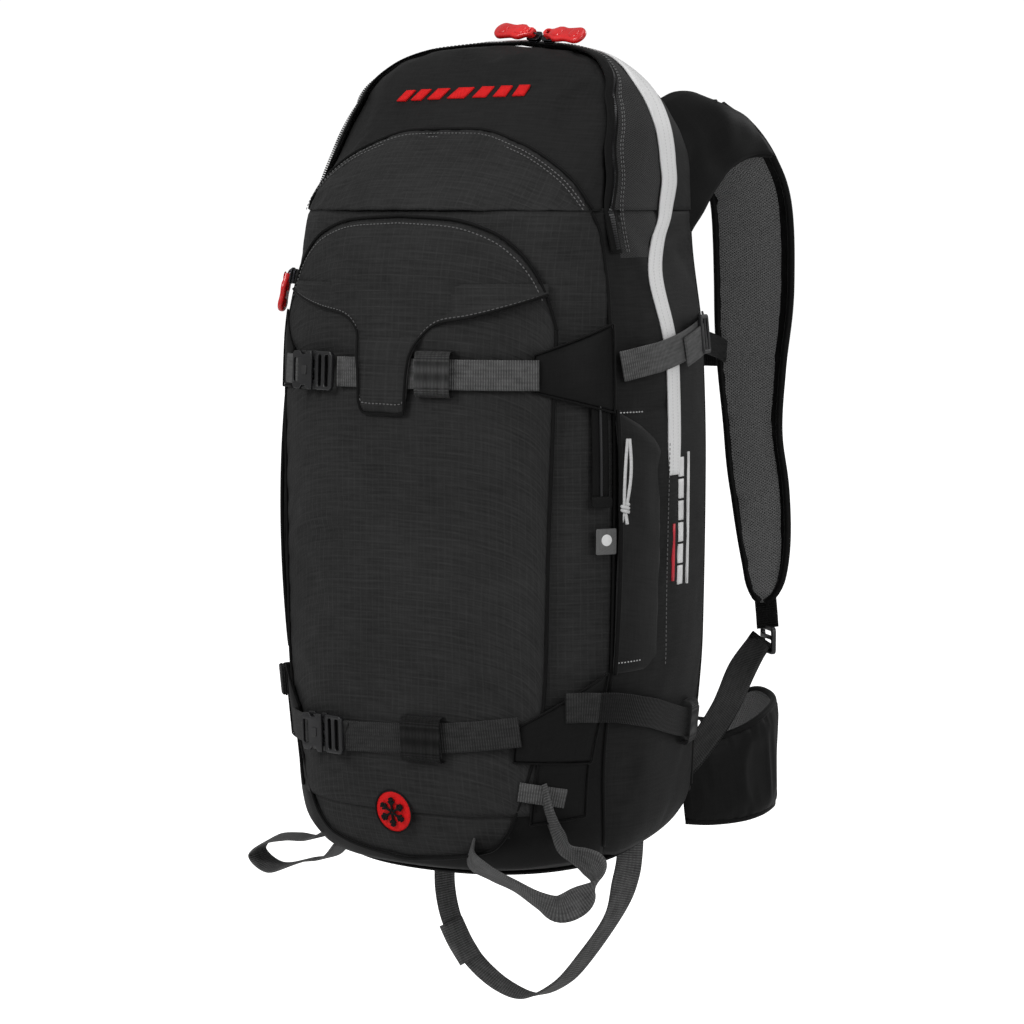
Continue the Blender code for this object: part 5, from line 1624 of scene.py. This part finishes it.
def stabiliser(side, sign):
    """Short strap from the bag's back edge to the shoulder strap."""
    route = [(sign * 0.098, 0.002, 0.366), (sign * 0.092, 0.030, 0.363),
             (sign * 0.078, 0.080, 0.356), (sign * 0.066, 0.116, 0.350)]
    obj = strap("stabiliser_" + side, design(route), [(0, 0.1, 1)] * 4, "web_black", None, count=40,
                width=0.016)
    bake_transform(obj)


def shoulder_cover(side, sign):
    """Cloth that closes the corner between the bag's crown and the shoulder strap."""
    on_back = Curve([(0, 0.524), (1, 0.432)])
    inner, outer = [], []
    for k in span(0, 1, 20):
        z = float(on_back(k))
        inner.append((half_width(z) * (1 - back_taper(z)) * 0.99, back_y(z) - 0.004, z))
    outer = even(spline([(0.098, 0.046, 0.5235), (0.110, 0.060, 0.517), (0.1160, 0.074, 0.506),
                         (0.1200, 0.087, 0.490)], 60), 20)
    inner = np.array(inner).reshape(20, 3)
    i = span(0, 1, 26)[:, None, None]
    p = inner[None] * (1 - i) + outer[None] * i
    j = span(0, 1, 20)[None]
    p[..., 2] += (0.008 + 0.012 * j) * np.sin(math.pi * i[..., 0])
    p[..., 0] += 0.004 * np.sin(math.pi * i[..., 0]) * np.sin(math.pi * j)
    p[..., 0] *= sign
    p = p - HANG
    p[..., 0] += sign * 0.0010 * wander(p, 0.03, 91)
    if sign > 0:
        p = p[:, ::-1]
    obj = cloth_grid("shoulder_cover_" + side, p, "satin", None, thickness=0.0030)
    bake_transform(obj)
    edge = p[:, 0] if sign > 0 else p[:, -1]
    rim = tube("shoulder_cover_rim_" + side, edge, 0.0018, "binding", None, 8)
    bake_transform(rim)


def yoke():
    """Padded piece behind the neck that carries both shoulder straps."""
    rows, cols = 30, 48
    line = spline([p for p, h in YOKE], rows)
    halves = spline([(h, 0) for p, h in YOKE], rows)[:, 0]
    j = span(0, 1, cols)
    sheet_rows = []
    for k in range(rows):
        x = (line[k, 0] + halves[k]) * (2 * j - 1)
        dip = 0.010 * np.cos(math.pi * (j - 0.5)) ** 2 * (k / (rows - 1))
        sheet_rows.append(np.stack([-x, np.full(cols, line[k, 1]), line[k, 2] - dip], -1))
    p = np.array(sheet_rows) - HANG
    obj = cloth_grid("yoke_pad", p, "satin", "pack", thickness=0.0072)
    bev = obj.modifiers.new("soft", "BEVEL")
    bev.width, bev.segments, bev.limit_method = 0.003, 3, "ANGLE"
    stands_for("shoulder_yoke")
    edge = np.concatenate([p[0], p[1:, -1], p[-1, ::-1][1:], p[::-1, 0][1:]])
    edge[:, 1] -= 0.003
    tube("yoke_binding", even(edge, 240)[:-1], 0.0026, "binding", "pack", 8)


def facing_forward(place):
    m = Matrix(((1, 0, 0, 0), (0, 0, 1, 0), (0, -1, 0, 0), (0, 0, 0, 1)))
    m.translation = Vector(design([place])[0])
    return m


def chest_web(name, node, x0, x1, y, z, body):
    points = design([(x0, y, z), ((x0 + x1) / 2, y + 0.0004, z), (x1, y, z)])
    obj = strap(name, points, [(0, 0, 1)] * 3, "web_black", body, count=16)
    stands_for(node)


def chest():
    z, y = 0.348, 0.1300
    m = facing_forward((0, y, z))
    buckle_socket("sternum", m, "strap_left")
    buckle_fork("sternum", m, "sternum_clip_fork")
    chest_web("chest_web_left", "sternum_webbing_left", -0.0585, -0.0170, y, z, "strap_left")
    chest_web("chest_web_right", "sternum_webbing_right", 0.0090, 0.0585, y + 0.0036, z,
              "strap_right")
    y, z = 0.1450, 0.064
    m = facing_forward((0, y, z))
    buckle_socket("hip", m, "wing_left")
    buckle_fork("hip", m, "wing_right", shift=0.020)
    chest_web("hip_web_left", "hip_webbing_left", -0.0500, -0.0170, y, z, "wing_left")
    chest_web("hip_web_right", "hip_webbing_right", 0.0290, 0.0500, y + 0.0036, z, "wing_right")


def hip_belt():
    for side, sign in SIDES:
        body = "wing_" + side
        knots = [((sign * k[0][0], k[0][1], k[0][2]), k[1]) for k in WING]
        pad, edges = padded_sweep("hip_pad_" + side, knots, [(0, 0, 1)] * len(knots), 0.012,
                                  ["foam_mesh", "satin"] if sign > 0 else ["satin", "foam_mesh"],
                                  body, 84)
        stands_for("hip_wing_" + side)
        for k, edge in enumerate(edges):
            tube("hip_binding_%s_%d" % (side, k + 1), edge, 0.0024, "binding", body, 8)


# ------------------------------------------------------------------ inflation system
def inflation():
    at = design([(-0.0865, 0.1375, 0.255)])[0]
    m = Matrix.Translation(Vector(at)) @ Matrix.Rotation(math.pi / 2, 4, "X")
    shape = [(-0.009, 0.0), (0.009, 0.0), (0.011, 0.012), (0.011, 0.040)]
    shape += [(0.011 * math.cos(math.pi * k / 10), 0.040 + 0.011 * math.sin(math.pi * k / 10))
              for k in range(1, 10)]
    shape += [(-0.011, 0.040), (-0.011, 0.012)]
    handle = plate("trigger_grip", [shape], 0.0060, 0.0018, m, "red", "trigger_handle")
    stands_for("trigger_handle")
    for k in range(4):
        plate("trigger_ridge_%d" % (k + 1), [rounded(0.0140, 0.0022, 0.0009, 0, 0.010 + 0.0062 * k)],
              0.0072, 0.0005, m, "red", "trigger_handle")
    for name, mat in (("frame_stay", "alloy"), ("inflation_head", "alloy"), ("puncture_pin", "steel"),
                      ("gas_cartridge", "steel"), ("release_cable", "plastic")):
        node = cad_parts[name]
        for k in range(max(1, len(node.data.materials))):
            if k < len(node.data.materials):
                node.data.materials[k] = MATS[mat]
            else:
                node.data.materials.append(MATS[mat])
    crown = TOP - CROWN_GAP
    z = crown - (crown - 0.30) * (1 - np.cos(span(0, math.pi / 2, 60)))
    a = np.minimum(burst_u(z), 0.93)
    right = on_bag(a, z, -0.0225)
    left = right * (-1, 1, 1)
    route = even(np.concatenate([left[::-1], right[1:]]), 220)
    ahead = unit(np.gradient(route, axis=0))
    way = unit(np.cross(ahead, unit(np.array((0, -0.09, 0.3)) - HANG - route)))

    def folds(k):
        turn = span(0, 2 * math.pi, 48)[:-1]
        r = 0.0122 + 0.0016 * np.cos(7 * turn + 0.4 * math.sin(k * 0.21)) + 0.0004 * math.sin(k * 0.9)
        return np.stack([r * np.cos(turn), r * np.sin(turn)], 1)

    roll = section_sweep("airbag_roll", route, way, folds, "airbag", "pack")
    stands_for("folded_airbag")


studio()
pocket_cord()
front_cloth()
side_cloth("left", -1)
side_cloth("right", 1)
base_cloth()
tool_pocket()
channel()
lid()
main_zip()
tool_flap()
front_straps()
side_straps()
side_pockets()
trims()
loops()
zip_pulls()
back_system()
harness()
hip_belt()
inflation()
